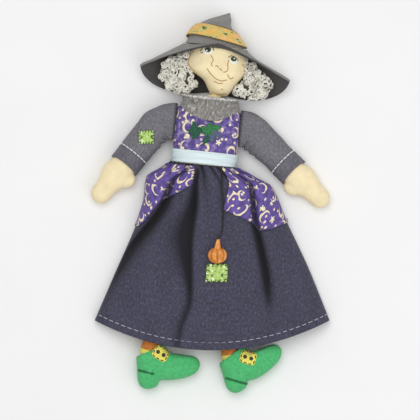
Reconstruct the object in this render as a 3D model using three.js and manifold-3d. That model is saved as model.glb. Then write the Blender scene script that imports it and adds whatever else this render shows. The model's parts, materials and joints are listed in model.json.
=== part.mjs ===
// Cloth witch doll lying on its back. A stuffed muslin body wears a cotton bodice, denim sleeves, a gathered
// denim skirt, felt boots, a knitted cowl and a wide-brimmed hat over curled hair.
// Millimetres, +Z up from the table, head towards +Y. Left and right are the doll's own, so its right hand
// is at -X.
import * as THREE from "three";
import { mergeVertices } from "three/addons/utils/BufferGeometryUtils.js";
import Module from "manifold-3d";

const wasm = await Module();
wasm.setup();

// Cloth and fit
const gap = 0.3; // between pieces that touch
const tableGap = 0.4; // under what lies lightly on the table
const muslin = 0.9; // skin
const cotton = 1; // bodice, hip panels and patches
const denim = 1.2; // sleeves, skirt, hat crown
const ribbon = 0.8; // sash and hat band
const knit = 3; // cowl
const feltBrim = 1.6;

// Stuffed torso, measured up from the waist seam
const lean = THREE.MathUtils.degToRad(6); // the upper body leans towards its left
const torsoLength = 46;
const chestDrop = 16; // chest below the neck hole
const shoulderDrop = 5;
const waistWidth = 43;
const chestWidth = 48.6;
const shoulderWidth = 45;
const neckHoleWidth = 16.4;
const waistDepth = 22;
const chestDepth = 28;
const shoulderDepth = 24;
const neckHoleDepth = 15;

// Bodice, sash and cowl
const bodiceDrop = 4; // bodice neckline below the neck hole
const sashWidth = 10;
const cowlWidth = 40;
const cowlTopWidth = 33;
const cowlDepth = 33;
const cowlTopDepth = 29;
const cowlTop = 5; // above the neck hole
const cowlDrop = 13; // front edge below the neck hole
const cowlSideDrop = 2;

// Leaf sprig on the bodice
const leafThickness = 1.4;
const leafBase = 0.15; // share of each leaf behind its root
const sprigReach = 7.6; // the sprig's top over its middle
const leaves = [ // root across and up from the sprig's middle, direction in degrees, length, width
  [2.5, 0, 35, 10.5, 6.8], [2.5, 0, 95, 8.4, 6.4], [2.5, 0, -20, 10.5, 6.6], [2.5, 0, -75, 10, 6.2],
  [2.5, 0, 158, 9, 6], [-7.5, 0, 118, 8.6, 6], [-7.5, 0, 185, 8.5, 5.6], [-7.5, 0, 245, 9, 5.6],
  [-7.5, 0, -8, 11, 4.4], [1.5, -1, 248, 12, 4.6],
];

// Arms, measured along their middle from the shoulder seam
const armholeWidth = 24;
const armBend = 18; // radius of the bend below the shoulder
const sleeveLength = 52;
const armLength = 86;
const upperArmDepth = 17;
const handDepth = 12;
const cuffWidth = 19.6;
const palmWidth = 23;
const palmReach = 7; // palm beyond the cuff
const fingerWidth = 15;
const fingerReach = 20; // fingers beyond the cuff
const seamDepth = 8; // flat stitched strip at the shoulder
const armFull = 16; // from here the arm lies on the table
const thumbLength = 13;
const thumbWidth = 10;
const thumbReach = 10; // thumb beyond the cuff
const rightArmHang = THREE.MathUtils.degToRad(57);
const leftArmHang = THREE.MathUtils.degToRad(38.5);
const armholeHeight = 29.8; // above the waist seam
const sleevePatchLength = 11.4;
const sleevePatchWidth = 10.5;
const sleevePatchReach = 24.5; // from the shoulder seam

// Neck and head, measured up from the chin
const neckWidth = 12;
const neckPivot = 1.5; // above the neck hole
const chinHeight = 6; // above the neck hole
const headShift = 2.5; // head towards the doll's left
const headHeight = 44;
const chinWidth = 15;
const jawWidth = 27;
const jawHeight = 7;
const cheekWidth = 45;
const cheekHeight = 24;
const headDepth = 26;
const hatLine = 37; // hat sits this far above the chin
const hatLineWidth = 35.6;
const headTopWidth = 18;
const headLift = 1.6; // over the brim's back
const neckClear = 0.9; // head above the neck, so it can nod

// Hat
const hatShift = 3; // crown towards the doll's right
const crownHeight = 25.6;
const crownEase = 0.6; // room over the brow
const crownMidWidth = 28.6;
const crownTipWidth = 6.4;
const crownLayBack = 8.5; // tip lower than the base
const crownCurl = 8; // tip towards the doll's left
const bandHeight = 8.4;
const bandRise = 5.3; // above the crown's base at the doll's right
const bandTilt = 4.5; // lower at its left
const brimSpan = 112;
const brimShift = 1; // brim towards the doll's right
const brimDroop = 20.5; // at the sides
const brimBow = 1.18; // droop gathers towards the tips
const brimLean = 0.08; // less so on the doll's left
const brimSag = 0.25; // the brim's left side dips close to the crown
const brimBackDroop = 34;
const brimFrontReach = 4;
const brimTurn = 1.2; // brim seam below the crown's base

// Hair: each lock is a round curl at [outwards, above the chin, radius]
const hairDepth = 16;
const rightLocks = [
  [23, 27, 5.5], [22.5, 20, 6], [29.5, 21.5, 6], [20.5, 13, 6], [28, 13, 7], [35, 15, 6.5],
  [15.5, 7.5, 4.5], [23, 7.5, 5.5], [32, 7.5, 5.5],
];
const leftLocks = [
  [24.5, 22.5, 5.5], [26, 16, 6], [31.5, 18, 5.5], [23.5, 9.5, 6], [31, 10.5, 6.5], [37, 12, 6],
  [18, 6, 5], [27, 4.5, 5.5], [35, 5.5, 5],
];

// Skirt, measured down from the waist seam
const skirtLength = 138;
const skirtWaistWidth = 50;
const skirtHipWidth = 103;
const skirtHemWidth = 176;
const skirtHipDepth = 31;
const skirtHemDepth = 24.6;
const skirtWaistDepth = 25;
const backWaistLift = 1.5; // the waistband's back over the table
const hemBow = 22; // the hem's middle hangs lower than its sides
const hemDrift = 6.5; // the hem lies to the doll's left
const foldDepth = 9;
const foldWidth = 6;

// Hip panels: lower edges from the front edge to the side seam, [across, up] from the waist
const rightPanelEdge = [[-6.4, -1], [-6.4, -14.2], [-21.9, -22.4], [-31.5, -27.4], [-44, -42.7], [-50, -46]];
const leftPanelEdge = [[12.2, -1], [13.9, -33.5], [35.6, -43], [40.1, -49], [50, -48], [63.4, -42.7]];
const panelTilt = 0.4; // panels lie out to the side as they rise
const skirtPatchWidth = 15.8;
const skirtPatchHeight = 12.8;
const skirtPatchAcross = 10;
const skirtPatchDrop = 80.6;

// Charm on its cord: the cord's middle line from the waist to the stem, [across, up, above the table]
const cordDiameter = 1.2;
const cordRoute = [
  [13.6, -1.6, 27.6], [13.7, -5, 28.8], [13.8, -8, 29.9], [13.9, -12, 31.3], [14, -16, 32.1], [14, -20, 32],
  [14.1, -24, 31.7], [14.2, -28, 31.5], [14.3, -32, 31.4], [14.4, -36, 30.8], [14.4, -40, 30.2],
  [14.4, -44, 29.8], [14.1, -47.5, 29.5], [13.3, -50.5, 29.5], [12, -53, 29.8], [10.4, -55, 30.2],
];
const charmWidth = 14.6;
const charmHeight = 12.2;
const charmThickness = 7;
const charmRibs = 8;
const charmRibDepth = 0.5;
const stemLength = 6;
const stemWidth = 4.6;

// Hips, legs and boots
const hipsLength = 26;
const hipsWidth = 40;
const hipsDepth = 19;
const hipsLevel = 14;
const legSpread = { right: -7.9, left: 9.4 }; // leg tops across from the waist's middle
const ankleAcross = { right: -40.2, left: 20.6 }; // from the waist's middle
const ankleDrop = { right: 1, left: 4 }; // below the skirt's length
const thighWidth = 15.6;
const ankleWidth = 14;
const bootThickness = 17;
const bootTurn = { right: 0, left: THREE.MathUtils.degToRad(13) };
const bootSlant = THREE.MathUtils.degToRad(24); // top edge rises towards the toe
const bootHeart = [0, -9]; // the pillow is fullest here
const bootOutline = [
  [-8.8, 10], [8.6, 12], [13.5, 0], [25, -2.8], [34, -4.6], [37.6, -10], [34.3, -16.6], [26, -20.4],
  [16, -22], [8, -22.2], [5, -26.7], [-2.4, -28.7], [-8, -25], [-9.4, -15],
];
const toeStart = 10; // the toe bends up from here
const toeEnd = 38;
const toeLift = { right: 0, left: 5 };
const buckleWidth = 12;
const buckleHeight = 10;
const buckleThickness = 1.4;
const bucklePlace = { right: [8.4, -1.8], left: [12, -4.7] }; // from the ankle
const buckleTilt = THREE.MathUtils.degToRad(-30);
const buckleHole = 1.5;

// Places that follow from the sizes above
const bodiceLift = gap + cotton; // bodice surface over the skin
const sashLift = bodiceLift + gap;
const bodyLevel = chestDepth / 2 + bodiceLift + tableGap;
const armSeam = chestWidth / 2 + bodiceLift + gap;
const armRoot = muslin + 2 * gap + denim; // half thickness of the flat shoulder seam
const headLevel = tableGap + feltBrim + headLift + headDepth / 2;
const ankles = {
  right: [ankleAcross.right, -skirtLength - ankleDrop.right],
  left: [ankleAcross.left, -skirtLength - ankleDrop.left],
};
const bootLevel = bootThickness / 2 + tableGap;
const neckRadius = neckWidth / 2;
const sprigHeight = torsoLength - cowlDrop - 2 * gap - sprigReach;

// Colours of the cloths
const finish = (color, roughness = 0.9) => new THREE.MeshStandardMaterial({ color, roughness, metalness: 0 });
const muslinSkin = finish("#f1dfb5");
const polyesterFill = finish("#f4f2ec", 1);
const printedCotton = finish("#6b5a95");
const greyDenim = finish("#6e6d72");
const navyDenim = finish("#45434f");
const greyChambray = finish("#807e7b");
const goldRibbon = finish("#d9b768", 0.6);
const satinRibbon = finish("#d8e6e8", 0.4);
const greyKnit = finish("#989793", 1);
const whiteYarn = finish("#dcd8c8", 1);
const greenFelt = finish("#52b871", 0.95);
const leafFelt = finish("#3c6e46", 0.95);
const limeCotton = finish("#b8d98a");
const stripedStocking = finish("#c8823c");
const yellowFelt = finish("#e8e070");
const blackCord = finish("#1c1a1c");
const pumpkinResin = finish("#e4943a", 0.5);

// A smooth curve through stations of [place, value], with no overshoot between them.
function profile(...stations) {
  const at = stations.map((station) => station[0]);
  const value = stations.map((station) => station[1]);
  const last = at.length - 1;
  const secant = (i) => (value[i + 1] - value[i]) / (at[i + 1] - at[i]);
  const slope = at.map((_, i) => {
    if (i === 0) return secant(0);
    if (i === last) return secant(last - 1);
    const before = secant(i - 1);
    const after = secant(i);
    return before * after > 0 ? (2 * before * after) / (before + after) : 0;
  });
  return (place) => {
    const x = THREE.MathUtils.clamp(place, at[0], at[last]);
    const i = Math.min(last - 1, at.findLastIndex((a) => a <= x));
    const step = at[i + 1] - at[i];
    const u = (x - at[i]) / step;
    const start = (1 + 2 * u) * (1 - u) ** 2 * value[i] + u * (1 - u) ** 2 * step * slope[i];
    const end = u * u * (3 - 2 * u) * value[i + 1] + u * u * (u - 1) * step * slope[i + 1];
    return start + end;
  };
}

const steps = (from, to, count) =>
  Array.from({ length: count + 1 }, (_, i) => from + ((to - from) * i) / count);

const around = (sides) => Array.from({ length: sides }, (_, i) => (2 * Math.PI * i) / sides);

const point = (x, y, z) => new THREE.Vector3(x, y, z);

// A closed body from points and triangles, turned so that its faces point outwards.
function body(points, faces) {
  const volume = faces.reduce(
    (sum, [a, b, c]) => sum + points[a].dot(points[b].clone().cross(points[c])),
    0,
  );
  const turned = volume < 0 ? faces.map(([a, b, c]) => [a, c, b]) : faces;
  const geometry = new THREE.BufferGeometry();
  geometry.setAttribute("position", new THREE.Float32BufferAttribute(points.flatMap((p) => p.toArray()), 3));
  geometry.setIndex(turned.flat());
  return geometry;
}

// The faces between neighbouring rings, each of the same number of points.
function ringFaces(count, sides, joined) {
  const faces = [];
  for (let row = 0; row < (joined ? count : count - 1); row++)
    for (let side = 0; side < sides; side++) {
      const next = (side + 1) % sides;
      const here = row * sides;
      const there = ((row + 1) % count) * sides;
      faces.push([here + side, here + next, there + next], [here + side, there + next, there + side]);
    }
  return faces;
}

// A body through rings, capped at both ends.
function capped(rings) {
  const sides = rings[0].length;
  const points = rings.flat();
  const faces = ringFaces(rings.length, sides, false);
  const middle = (ring) => ring.reduce((sum, p) => sum.add(p), point(0, 0, 0)).divideScalar(sides);
  const first = points.push(middle(rings[0])) - 1;
  const last = points.push(middle(rings.at(-1))) - 1;
  const lastRing = (rings.length - 1) * sides;
  for (let side = 0; side < sides; side++) {
    const next = (side + 1) % sides;
    faces.push([next, side, first], [lastRing + side, lastRing + next, last]);
  }
  return body(points, faces);
}

const ring = (surface, along, lift, angles) => angles.map((angle) => surface(along, angle, lift));

// Stuffing: a solid under a surface.
const stuffing = (surface, rows, lift, angles) => capped(rows.map((row) => ring(surface, row, lift, angles)));

// Cloth tube between two lifts over a surface, open at both ends.
function tube(surface, rows, inner, outer, angles) {
  const outside = rows.map((row) => ring(surface, row, outer, angles));
  const inside = rows.toReversed().map((row) => ring(surface, row, inner, angles));
  const rings = [...outside, ...inside];
  return body(rings.flat(), ringFaces(rings.length, angles.length, true));
}

// Cloth bag under a surface, open at the first row and closed at the last.
function bag(surface, rows, thickness, angles) {
  const inwards = Math.sign(rows[0] - rows.at(-1));
  const outside = rows.toReversed().map((row) => ring(surface, row, 0, angles));
  const floor = rows.at(-1) + inwards * thickness;
  const inside = [...rows.slice(0, -1).filter((row) => (row - floor) * inwards > 0), floor];
  return capped([...outside, ...inside.map((row) => ring(surface, row, -thickness, angles))]);
}

// Flat cloth laid over part of a surface, between two lifts. Both faces are split along the same diagonals.
function sheet(surface, rows, columns, inner, outer) {
  const layer = (lift) => rows.flatMap((row) => columns.map((column) => surface(row, column, lift)));
  const wide = columns.length;
  const under = rows.length * wide;
  const faces = [];
  const wall = (from, to) => faces.push([from, to, under + to], [from, under + to, under + from]);
  for (let row = 0; row < rows.length - 1; row++)
    for (let column = 0; column < wide - 1; column++) {
      const a = row * wide + column;
      const b = a + 1;
      const c = a + wide;
      const d = c + 1;
      faces.push([a, b, d], [a, d, c], [under + a, under + d, under + b], [under + a, under + c, under + d]);
      if (row === 0) wall(b, a);
      if (row === rows.length - 2) wall(c, d);
      if (column === 0) wall(a, c);
      if (column === wide - 2) wall(d, b);
    }
  return body([...layer(outer), ...layer(inner)], faces);
}

function solidOf(geometry) {
  const bare = new THREE.BufferGeometry();
  bare.setAttribute("position", geometry.getAttribute("position"));
  bare.setIndex(geometry.index);
  const merged = mergeVertices(bare, 1e-4);
  const vertProperties = merged.getAttribute("position").array;
  const triVerts = Uint32Array.from(merged.index.array);
  return new wasm.Manifold(new wasm.Mesh({ numProp: 3, vertProperties, triVerts }));
}

function geometryOf(solid) {
  const made = solid.getMesh();
  const geometry = new THREE.BufferGeometry();
  geometry.setAttribute("position", new THREE.BufferAttribute(made.vertProperties.slice(), 3));
  geometry.setIndex(Array.from(made.triVerts));
  return geometry;
}

const cut = (geometry, ...tools) =>
  geometryOf(tools.reduce((rest, tool) => rest.subtract(solidOf(tool)), solidOf(geometry)));

const join = (first, ...others) =>
  geometryOf(others.reduce((whole, other) => whole.add(solidOf(other)), solidOf(first)));

const within = (geometry, tool) => geometryOf(solidOf(geometry).intersect(solidOf(tool)));

// A ball drawn out to three half sizes.
function ball(centre, halfSizes, sides, rows) {
  const geometry = new THREE.SphereGeometry(1, sides, rows);
  geometry.scale(...halfSizes);
  geometry.translate(...centre);
  return geometry;
}

// A tall prism over an outline in the table's plane.
function prism(outline, height) {
  const shape = new THREE.Shape(outline.map(([x, y]) => new THREE.Vector2(x, y)));
  return new THREE.ExtrudeGeometry(shape, { depth: height, bevelEnabled: false });
}

// Share of full size near a round end: 1 until the last radius, then a quarter circle down to the tip.
function roundEnd(along, length, radius) {
  const past = Math.max(0, along - length + radius) / radius;
  return Math.sqrt(Math.max(0, 1 - past * past));
}

const doll = new THREE.Group();
const lower = new THREE.Group();
const upper = new THREE.Group();
upper.rotation.z = -lean;
doll.add(lower, upper);

function add(group, name, geometry, cloth) {
  const mesh = new THREE.Mesh(geometry, cloth);
  mesh.name = name;
  group.add(mesh);
}

// Torso
const torsoHalfWidth = profile(
  [0, waistWidth / 2],
  [torsoLength - chestDrop, chestWidth / 2],
  [torsoLength - shoulderDrop, shoulderWidth / 2],
  [torsoLength, neckHoleWidth / 2],
);
const torsoHalfDepth = profile(
  [0, waistDepth / 2],
  [torsoLength - chestDrop, chestDepth / 2],
  [torsoLength - shoulderDrop, shoulderDepth / 2],
  [torsoLength, neckHoleDepth / 2],
);
const torso = (height, angle, lift) =>
  point(
    (torsoHalfWidth(height) + lift) * Math.cos(angle),
    height,
    bodyLevel + (torsoHalfDepth(height) + lift) * Math.sin(angle),
  );
const torsoAngles = around(20);
const torsoRows = [
  ...steps(0, torsoLength - chestDrop, 3),
  ...steps(torsoLength - chestDrop, torsoLength - shoulderDrop, 2).slice(1),
  ...steps(torsoLength - shoulderDrop, torsoLength, 4).slice(1),
];
const neckBall = torsoLength + neckPivot;
const fillTop = neckBall - neckRadius - gap;

function addTorso() {
  const rows = torsoRows.toReversed();
  const fillRows = [muslin + gap, ...torsoRows.filter((row) => row > muslin + gap && row < fillTop), fillTop];
  add(upper, "torso", bag(torso, rows, muslin, torsoAngles), muslinSkin);
  add(upper, "torso_stuffing", stuffing(torso, fillRows, -muslin - gap, torsoAngles), polyesterFill);
}

// Bodice, sash, cowl and leaf sprig
function addBodice() {
  const neckline = torsoLength - bodiceDrop;
  const rows = [gap, ...torsoRows.filter((row) => row > gap && row < neckline), neckline];
  add(upper, "bodice", tube(torso, rows, gap, bodiceLift, torsoAngles), printedCotton);
  const sashRows = [gap, sashWidth / 2, sashWidth];
  add(upper, "sash", tube(torso, sashRows, sashLift, sashLift + ribbon, torsoAngles), satinRibbon);
}

function addCowl() {
  // The cowl hangs lower in front, and its rows draw in towards the chin.
  const cowl = (share, angle, lift) => {
    const front = Math.max(0, Math.sin(angle)) ** 1.5;
    const low = torsoLength - cowlSideDrop - (cowlDrop - cowlSideDrop) * front;
    const wide = THREE.MathUtils.lerp(cowlWidth, cowlTopWidth, share) / 2;
    const frontDeep = THREE.MathUtils.lerp(cowlDepth, cowlTopDepth, share) / 2;
    const deep = Math.sin(angle) > 0 ? frontDeep : cowlTopDepth / 2;
    return point(
      (wide + lift) * Math.cos(angle),
      THREE.MathUtils.lerp(low, torsoLength + cowlTop, share),
      bodyLevel + (deep + lift) * Math.sin(angle),
    );
  };
  const rows = [0, ...torsoRows, torsoLength + gap];
  const bodiceShape = stuffing(torso, rows, bodiceLift + gap, torsoAngles);
  const ringOfKnit = tube(cowl, steps(0, 1, 3), -knit, 0, around(24));
  add(upper, "knit_cowl", cut(ringOfKnit, bodiceShape), greyKnit);
}

// Height of the bodice's front over a place on the torso.
function chestHeight(across, up) {
  const half = torsoHalfWidth(up) + bodiceLift;
  const share = Math.sqrt(Math.max(0, 1 - (across / half) ** 2));
  return bodyLevel + (torsoHalfDepth(up) + bodiceLift) * share;
}

function addSprig() {
  const blades = leaves.map(([across, up, degrees, length, width], i) => {
    const direction = THREE.MathUtils.degToRad(degrees);
    const leaf = (along, side, lift) => {
      const half = (width / 2) * Math.sin(Math.PI * (0.1 + 0.88 * along)) * side;
      const reach = length * (along - leafBase);
      const x = across + reach * Math.cos(direction) - half * Math.sin(direction);
      const y = sprigHeight + up + reach * Math.sin(direction) + half * Math.cos(direction);
      const rise = lift * (1 - 0.6 * side * side) * (1 + 0.2 * (i % 2));
      return point(x, y, chestHeight(x, y) + gap + rise);
    };
    return sheet(leaf, steps(0, 1, 4), steps(-1, 1, 2), 0, leafThickness);
  });
  add(upper, "leaf_sprig", join(...blades), leafFelt);
}

// Arms: side is -1 for the doll's right and 1 for its left. The flat seam at the shoulder ends in a round
// roll, so that the arm turns against the bodice.
const armHalfWidth = profile(
  [0, armholeWidth / 2],
  [sleeveLength, cuffWidth / 2],
  [sleeveLength + palmReach, palmWidth / 2],
  [sleeveLength + fingerReach, fingerWidth / 2 + 0.6],
  [armLength, fingerWidth / 2],
);
const armHalfDepth = profile(
  [armRoot, muslin + gap],
  [seamDepth, upperArmDepth / 4],
  [armFull, upperArmDepth / 2],
  [sleeveLength, (upperArmDepth + handDepth) / 4],
  [armLength, handDepth / 2],
);

function armSurface(side, hang) {
  const seamLevel = bodyLevel;
  return (along, angle, lift) => {
    const turn = Math.min(along / armBend, hang);
    const straight = Math.max(0, along - armBend * hang);
    const end = roundEnd(along, armLength, fingerWidth / 2);
    const wide = (armHalfWidth(along) * end + lift) * Math.cos(angle);
    const rolled = armRoot - Math.sqrt(Math.max(0, armRoot ** 2 - Math.max(0, armRoot - along) ** 2));
    const deep = armHalfDepth(along) * end + lift - rolled;
    const lying = armHalfDepth(along) + gap + denim + tableGap;
    const level = THREE.MathUtils.lerp(seamLevel, lying, THREE.MathUtils.smoothstep(along, 0, armFull));
    const across = armBend * Math.sin(turn) + straight * Math.cos(hang) + wide * Math.sin(turn);
    const drop = armBend * (1 - Math.cos(turn)) + straight * Math.sin(hang) - wide * Math.cos(turn);
    return point(side * (armSeam + across), armholeHeight - drop, level + deep * Math.sin(angle));
  };
}

const armAngles = around(14);
const fingertip = armLength - fingerWidth * 0.3;
const armRows = [
  ...steps(armRoot, armFull, 4),
  ...steps(armFull, sleeveLength, 3).slice(1),
  sleeveLength + palmReach,
  sleeveLength + fingerReach / 2 + palmReach / 2,
  sleeveLength + fingerReach,
  fingertip,
  armLength - fingerWidth * 0.08,
  armLength - fingerWidth * 0.01,
];

function addArm(name, side, hang) {
  const arm = armSurface(side, hang);
  const thumbAt = sleeveLength + thumbReach;
  const edge = arm(thumbAt, Math.PI, -thumbWidth * 0.15);
  const thumb = ball([0, 0, 0], [thumbLength / 2, thumbWidth / 2, handDepth * 0.38], 12, 8);
  thumb.rotateZ(side * -hang);
  thumb.translate(edge.x, edge.y, edge.z);
  const fillRows = armRows.filter((row) => row >= seamDepth && row <= fingertip);
  const core = stuffing(arm, armRows, -muslin / 2, armAngles);
  add(upper, name, join(bag(arm, armRows, muslin, armAngles), cut(thumb, core)), muslinSkin);
  add(upper, `${name}_stuffing`, stuffing(arm, fillRows, -muslin - gap, armAngles), polyesterFill);
  const sleeve = (along, angle, lift) => arm(along, angle, lift + gap + denim);
  const rolledEnd = [0.6, 0.25, 0.04].map((share) => share * armRoot);
  const sleeveRows = [...armRows.filter((row) => row <= sleeveLength).toReversed(), ...rolledEnd];
  add(upper, name.replace("arm", "sleeve"), bag(sleeve, sleeveRows, denim, armAngles), greyDenim);
}

function addSleevePatch() {
  const arm = armSurface(-1, rightArmHang);
  const lift = gap + denim + gap;
  const spread = sleevePatchWidth / armholeWidth;
  const along = steps(sleevePatchReach - sleevePatchLength / 2, sleevePatchReach + sleevePatchLength / 2, 4);
  const angles = steps(Math.PI / 2 - spread, Math.PI / 2 + spread, 4);
  add(upper, "sleeve_patch", sheet(arm, along, angles, lift, lift + cotton), limeCotton);
}

// Head and neck, in a group whose origin is the chin
const headGroup = new THREE.Group();
headGroup.position.set(headShift, torsoLength + chinHeight, 0);
upper.add(headGroup);
const headHalfWidth = profile(
  [0, 2],
  [1.6, chinWidth / 2],
  [jawHeight, jawWidth / 2],
  [cheekHeight, cheekWidth / 2],
  [hatLine, hatLineWidth / 2],
  [headHeight, headTopWidth / 2],
);
const headHalfDepth = profile(
  [0, 2],
  [1.6, headDepth * 0.22],
  [jawHeight, headDepth * 0.37],
  [cheekHeight * 0.8, headDepth / 2],
  [hatLine, headDepth * 0.48],
  [headHeight, headDepth * 0.33],
);
const head = (height, angle, lift) =>
  point(
    (headHalfWidth(height) + lift) * Math.cos(angle),
    height,
    headLevel + (headHalfDepth(height) + lift) * Math.sin(angle),
  );
const headAngles = around(20);
const headRows = [
  0, 1.6, jawHeight / 2, jawHeight, (jawHeight + cheekHeight) / 2, cheekHeight, (cheekHeight + hatLine) / 2,
  hatLine, (hatLine + headHeight) / 2, headHeight,
];

// The head grown by a clearance, also below the chin.
function headShape(clearance) {
  const rings = headRows.map((row) => ring(head, row, clearance, headAngles));
  const tip = ring(head, 0, clearance * 0.5, headAngles).map((p) => p.add(point(0, -clearance, 0)));
  const top = rings.at(-1).map((p) => p.clone().add(point(0, clearance, 0)));
  return capped([tip, ...rings, top]);
}

function addHead() {
  add(headGroup, "head", bag(head, headRows.toReversed(), muslin, headAngles), muslinSkin);
  const fillRows = headRows.filter((row) => row > muslin + gap && row < headHeight);
  const inset = muslin + gap;
  add(headGroup, "head_stuffing", stuffing(head, fillRows, -inset, headAngles), polyesterFill);
}

function addNeck() {
  // A round-ended stub that turns in the neck hole.
  const reach = chinHeight - neckPivot + jawHeight;
  const stub = new THREE.CylinderGeometry(neckRadius, neckRadius, reach, 20);
  stub.translate(0, reach / 2, 0);
  const neck = join(new THREE.SphereGeometry(neckRadius, 20, 10), stub);
  neck.translate(headShift / 2, neckBall, bodyLevel);
  const clear = headShape(neckClear);
  clear.translate(headShift, torsoLength + chinHeight, 0);
  add(upper, "neck", cut(neck, clear), muslinSkin);
}

function addHair(name, side, locks) {
  const lumps = locks.map(([out, up, radius]) =>
    ball([side * out, up, headLevel + 1], [radius, radius, hairDepth / 2], 8, 5),
  );
  add(headGroup, name, cut(join(...lumps), headShape(gap)), whiteYarn);
}

// Hat: the crown's rings tip back with its lay, the brim springs from its base
const crownHalfWidth = profile(
  [0, hatLineWidth / 2 + gap + hatShift + denim],
  [0.28, crownMidWidth * 0.64],
  [0.5, crownMidWidth / 2],
  [0.77, crownMidWidth * 0.27],
  [0.92, crownTipWidth / 2],
  [1, crownTipWidth / 6],
);
const crownHalfDepth = profile(
  [0, headDepth * 0.48 + gap + denim + crownEase],
  [0.5, crownMidWidth * 0.32],
  [0.92, crownTipWidth * 0.35],
  [1, crownTipWidth / 6],
);
const crownAcross = profile([0, -hatShift], [0.5, -hatShift - crownCurl / 4], [1, crownCurl - hatShift]);
const crownAngles = around(24);
const crown = (share, angle, lift) => {
  const deep = (crownHalfDepth(share) + lift) * Math.sin(angle);
  return point(
    crownAcross(share) + (crownHalfWidth(share) + lift) * Math.cos(angle),
    hatLine + gap + crownHeight * share + deep * (crownLayBack / crownHeight) * Math.min(1, 3 * share),
    headLevel - crownLayBack * share ** 1.5 + deep,
  );
};

function addCrown() {
  const rows = steps(0, 1, 8);
  const outside = rows.toReversed().map((row) => ring(crown, row, 0, crownAngles));
  const roof = 1 - denim / crownHeight;
  const inside = [...rows.filter((row) => row < roof - 0.08), roof - 0.06];
  const rings = [...outside, ...inside.map((row) => ring(crown, row, -denim, crownAngles))];
  add(headGroup, "hat_crown", capped(rings), greyChambray);
  const bandRows = steps(bandRise / crownHeight, (bandRise + bandHeight) / crownHeight, 3);
  const band = (share, angle, lift) =>
    crown(share - ((bandTilt / crownHeight) * (1 + Math.cos(angle))) / 2, angle, lift);
  add(headGroup, "hat_band", tube(band, bandRows, gap, gap + ribbon, crownAngles), goldRibbon);
}

// Middle of the brim: share 0 at the crown seam, 1 at the edge. It arches over the brow, droops at the sides
// and lies along the table behind the head.
function brimMiddle(share, angle) {
  const seam = crown(0, angle, gap + feltBrim / 2);
  const cosine = Math.cos(angle);
  const back = Math.max(0, -Math.sin(angle));
  const front = Math.max(0, Math.sin(angle));
  const floor = headLevel - tableGap - feltBrim / 2;
  const edge = point(
    -brimShift + (brimSpan / 2) * cosine,
    hatLine + gap - brimDroop * Math.abs(cosine) ** (brimBow - brimLean * cosine) - brimBackDroop * back ** 1.3 + front,
    headLevel + (seam.z - headLevel + brimFrontReach) * front - floor * back,
  );
  seam.y -= brimTurn;
  const dip = Math.max(0, share) ** (1 - brimSag * Math.max(0, cosine));
  const up = THREE.MathUtils.lerp(seam.y, edge.y, dip);
  return seam.lerp(edge, share).setY(up);
}

function addBrim() {
  const nudge = 1e-3;
  const brim = (share, angle, lift) => {
    const here = brimMiddle(share, angle);
    const outwards = brimMiddle(share + nudge, angle).sub(here);
    const onwards = brimMiddle(share, angle + nudge).sub(here);
    return here.add(outwards.cross(onwards).setLength(lift));
  };
  const rows = steps(0, 1, 3);
  add(headGroup, "hat_brim", tube(brim, rows, -feltBrim / 2, feltBrim / 2, around(48)), greyChambray);
}

// Skirt: share runs from the waist seam to the hem. The front is a raised arch with pressed-in folds, the
// back lies flat on the table.
const halfSkirt = profile(
  [0, skirtWaistWidth / 2],
  [0.04, skirtWaistWidth * 0.68],
  [0.1, skirtHipWidth * 0.445],
  [0.26, skirtHipWidth / 2],
  [0.7, skirtHemWidth * 0.418],
  [1, skirtHemWidth / 2],
);
const skirtSide = profile(
  [0, 0],
  [0.04, hemDrift * 0.35],
  [0.1, hemDrift * 0.62],
  [0.25, hemDrift],
  [0.5, hemDrift * 1.12],
  [1, hemDrift],
);
const sideLevel = profile([0, hipsLevel], [0.1, hipsLevel * 0.64], [0.25, 3.4], [0.5, 2.6], [1, 2.6]);
const skirtTop = profile(
  [0, skirtWaistDepth + 1.5],
  [0.1, skirtHipDepth],
  [0.25, skirtHipDepth],
  [0.5, (skirtHipDepth + skirtHemDepth) / 2],
  [1, skirtHemDepth],
);
const backLevel = (share) => backWaistLift * (1 - THREE.MathUtils.smoothstep(share, 0, 0.1));

// The main folds: middle line as shares of the half width along the skirt, with a depth and width factor.
const folds = [
  { line: profile([0.03, -0.4], [0.23, -0.81], [0.47, -0.95], [1, -1.1]), deep: 1, wide: 1 },
  {
    line: profile([0.03, -0.2], [0.19, -0.29], [0.41, -0.37], [0.75, -0.29], [1, -0.24]),
    deep: 0.75,
    wide: 1.7,
  },
  { line: profile([0.03, 0.35], [0.14, 0.62], [0.33, 0.53], [0.52, 0.5], [1, 0.5]), deep: 0.8, wide: 1.2 },
  { line: profile([0.03, 0.08], [0.14, 0.1], [0.5, 0.02], [1, 0.06]), deep: 0.25, wide: 1.3 },
];

function skirt(share, angle, lift) {
  const side = Math.cos(angle);
  const rise = Math.sin(angle);
  const half = halfSkirt(share);
  const x = skirtSide(share) + (half + lift) * side;
  const sway = x * Math.tan(lean) * (1 - share) ** 3;
  const y = -gap - share * (skirtLength - hemBow * side * side) - sway;
  const mid = sideLevel(share);
  if (rise < 0) return point(x, y, mid - (mid - backLevel(share) + lift) * Math.min(1, -3 * rise));
  const arch = rise ** 0.8;
  const settle = THREE.MathUtils.smoothstep(share, 0, 0.2) * (1 - 0.35 * share) * Math.sqrt(rise);
  const pressed = folds.reduce((sum, fold) => {
    const off = (half * (side - fold.line(share))) / (foldWidth * fold.wide);
    return sum + foldDepth * fold.deep * Math.exp(-off * off);
  }, 0);
  return point(x, y, mid + (skirtTop(share) - mid + lift) * arch - pressed * settle);
}

// The skirt's front moved bodily up and, by a tilt, to one side, so that it lies clear over every fold.
const overSkirt = (tilt) => (share, angle, lift) => skirt(share, angle, 0).add(point(tilt * lift, 0, lift));

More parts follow.
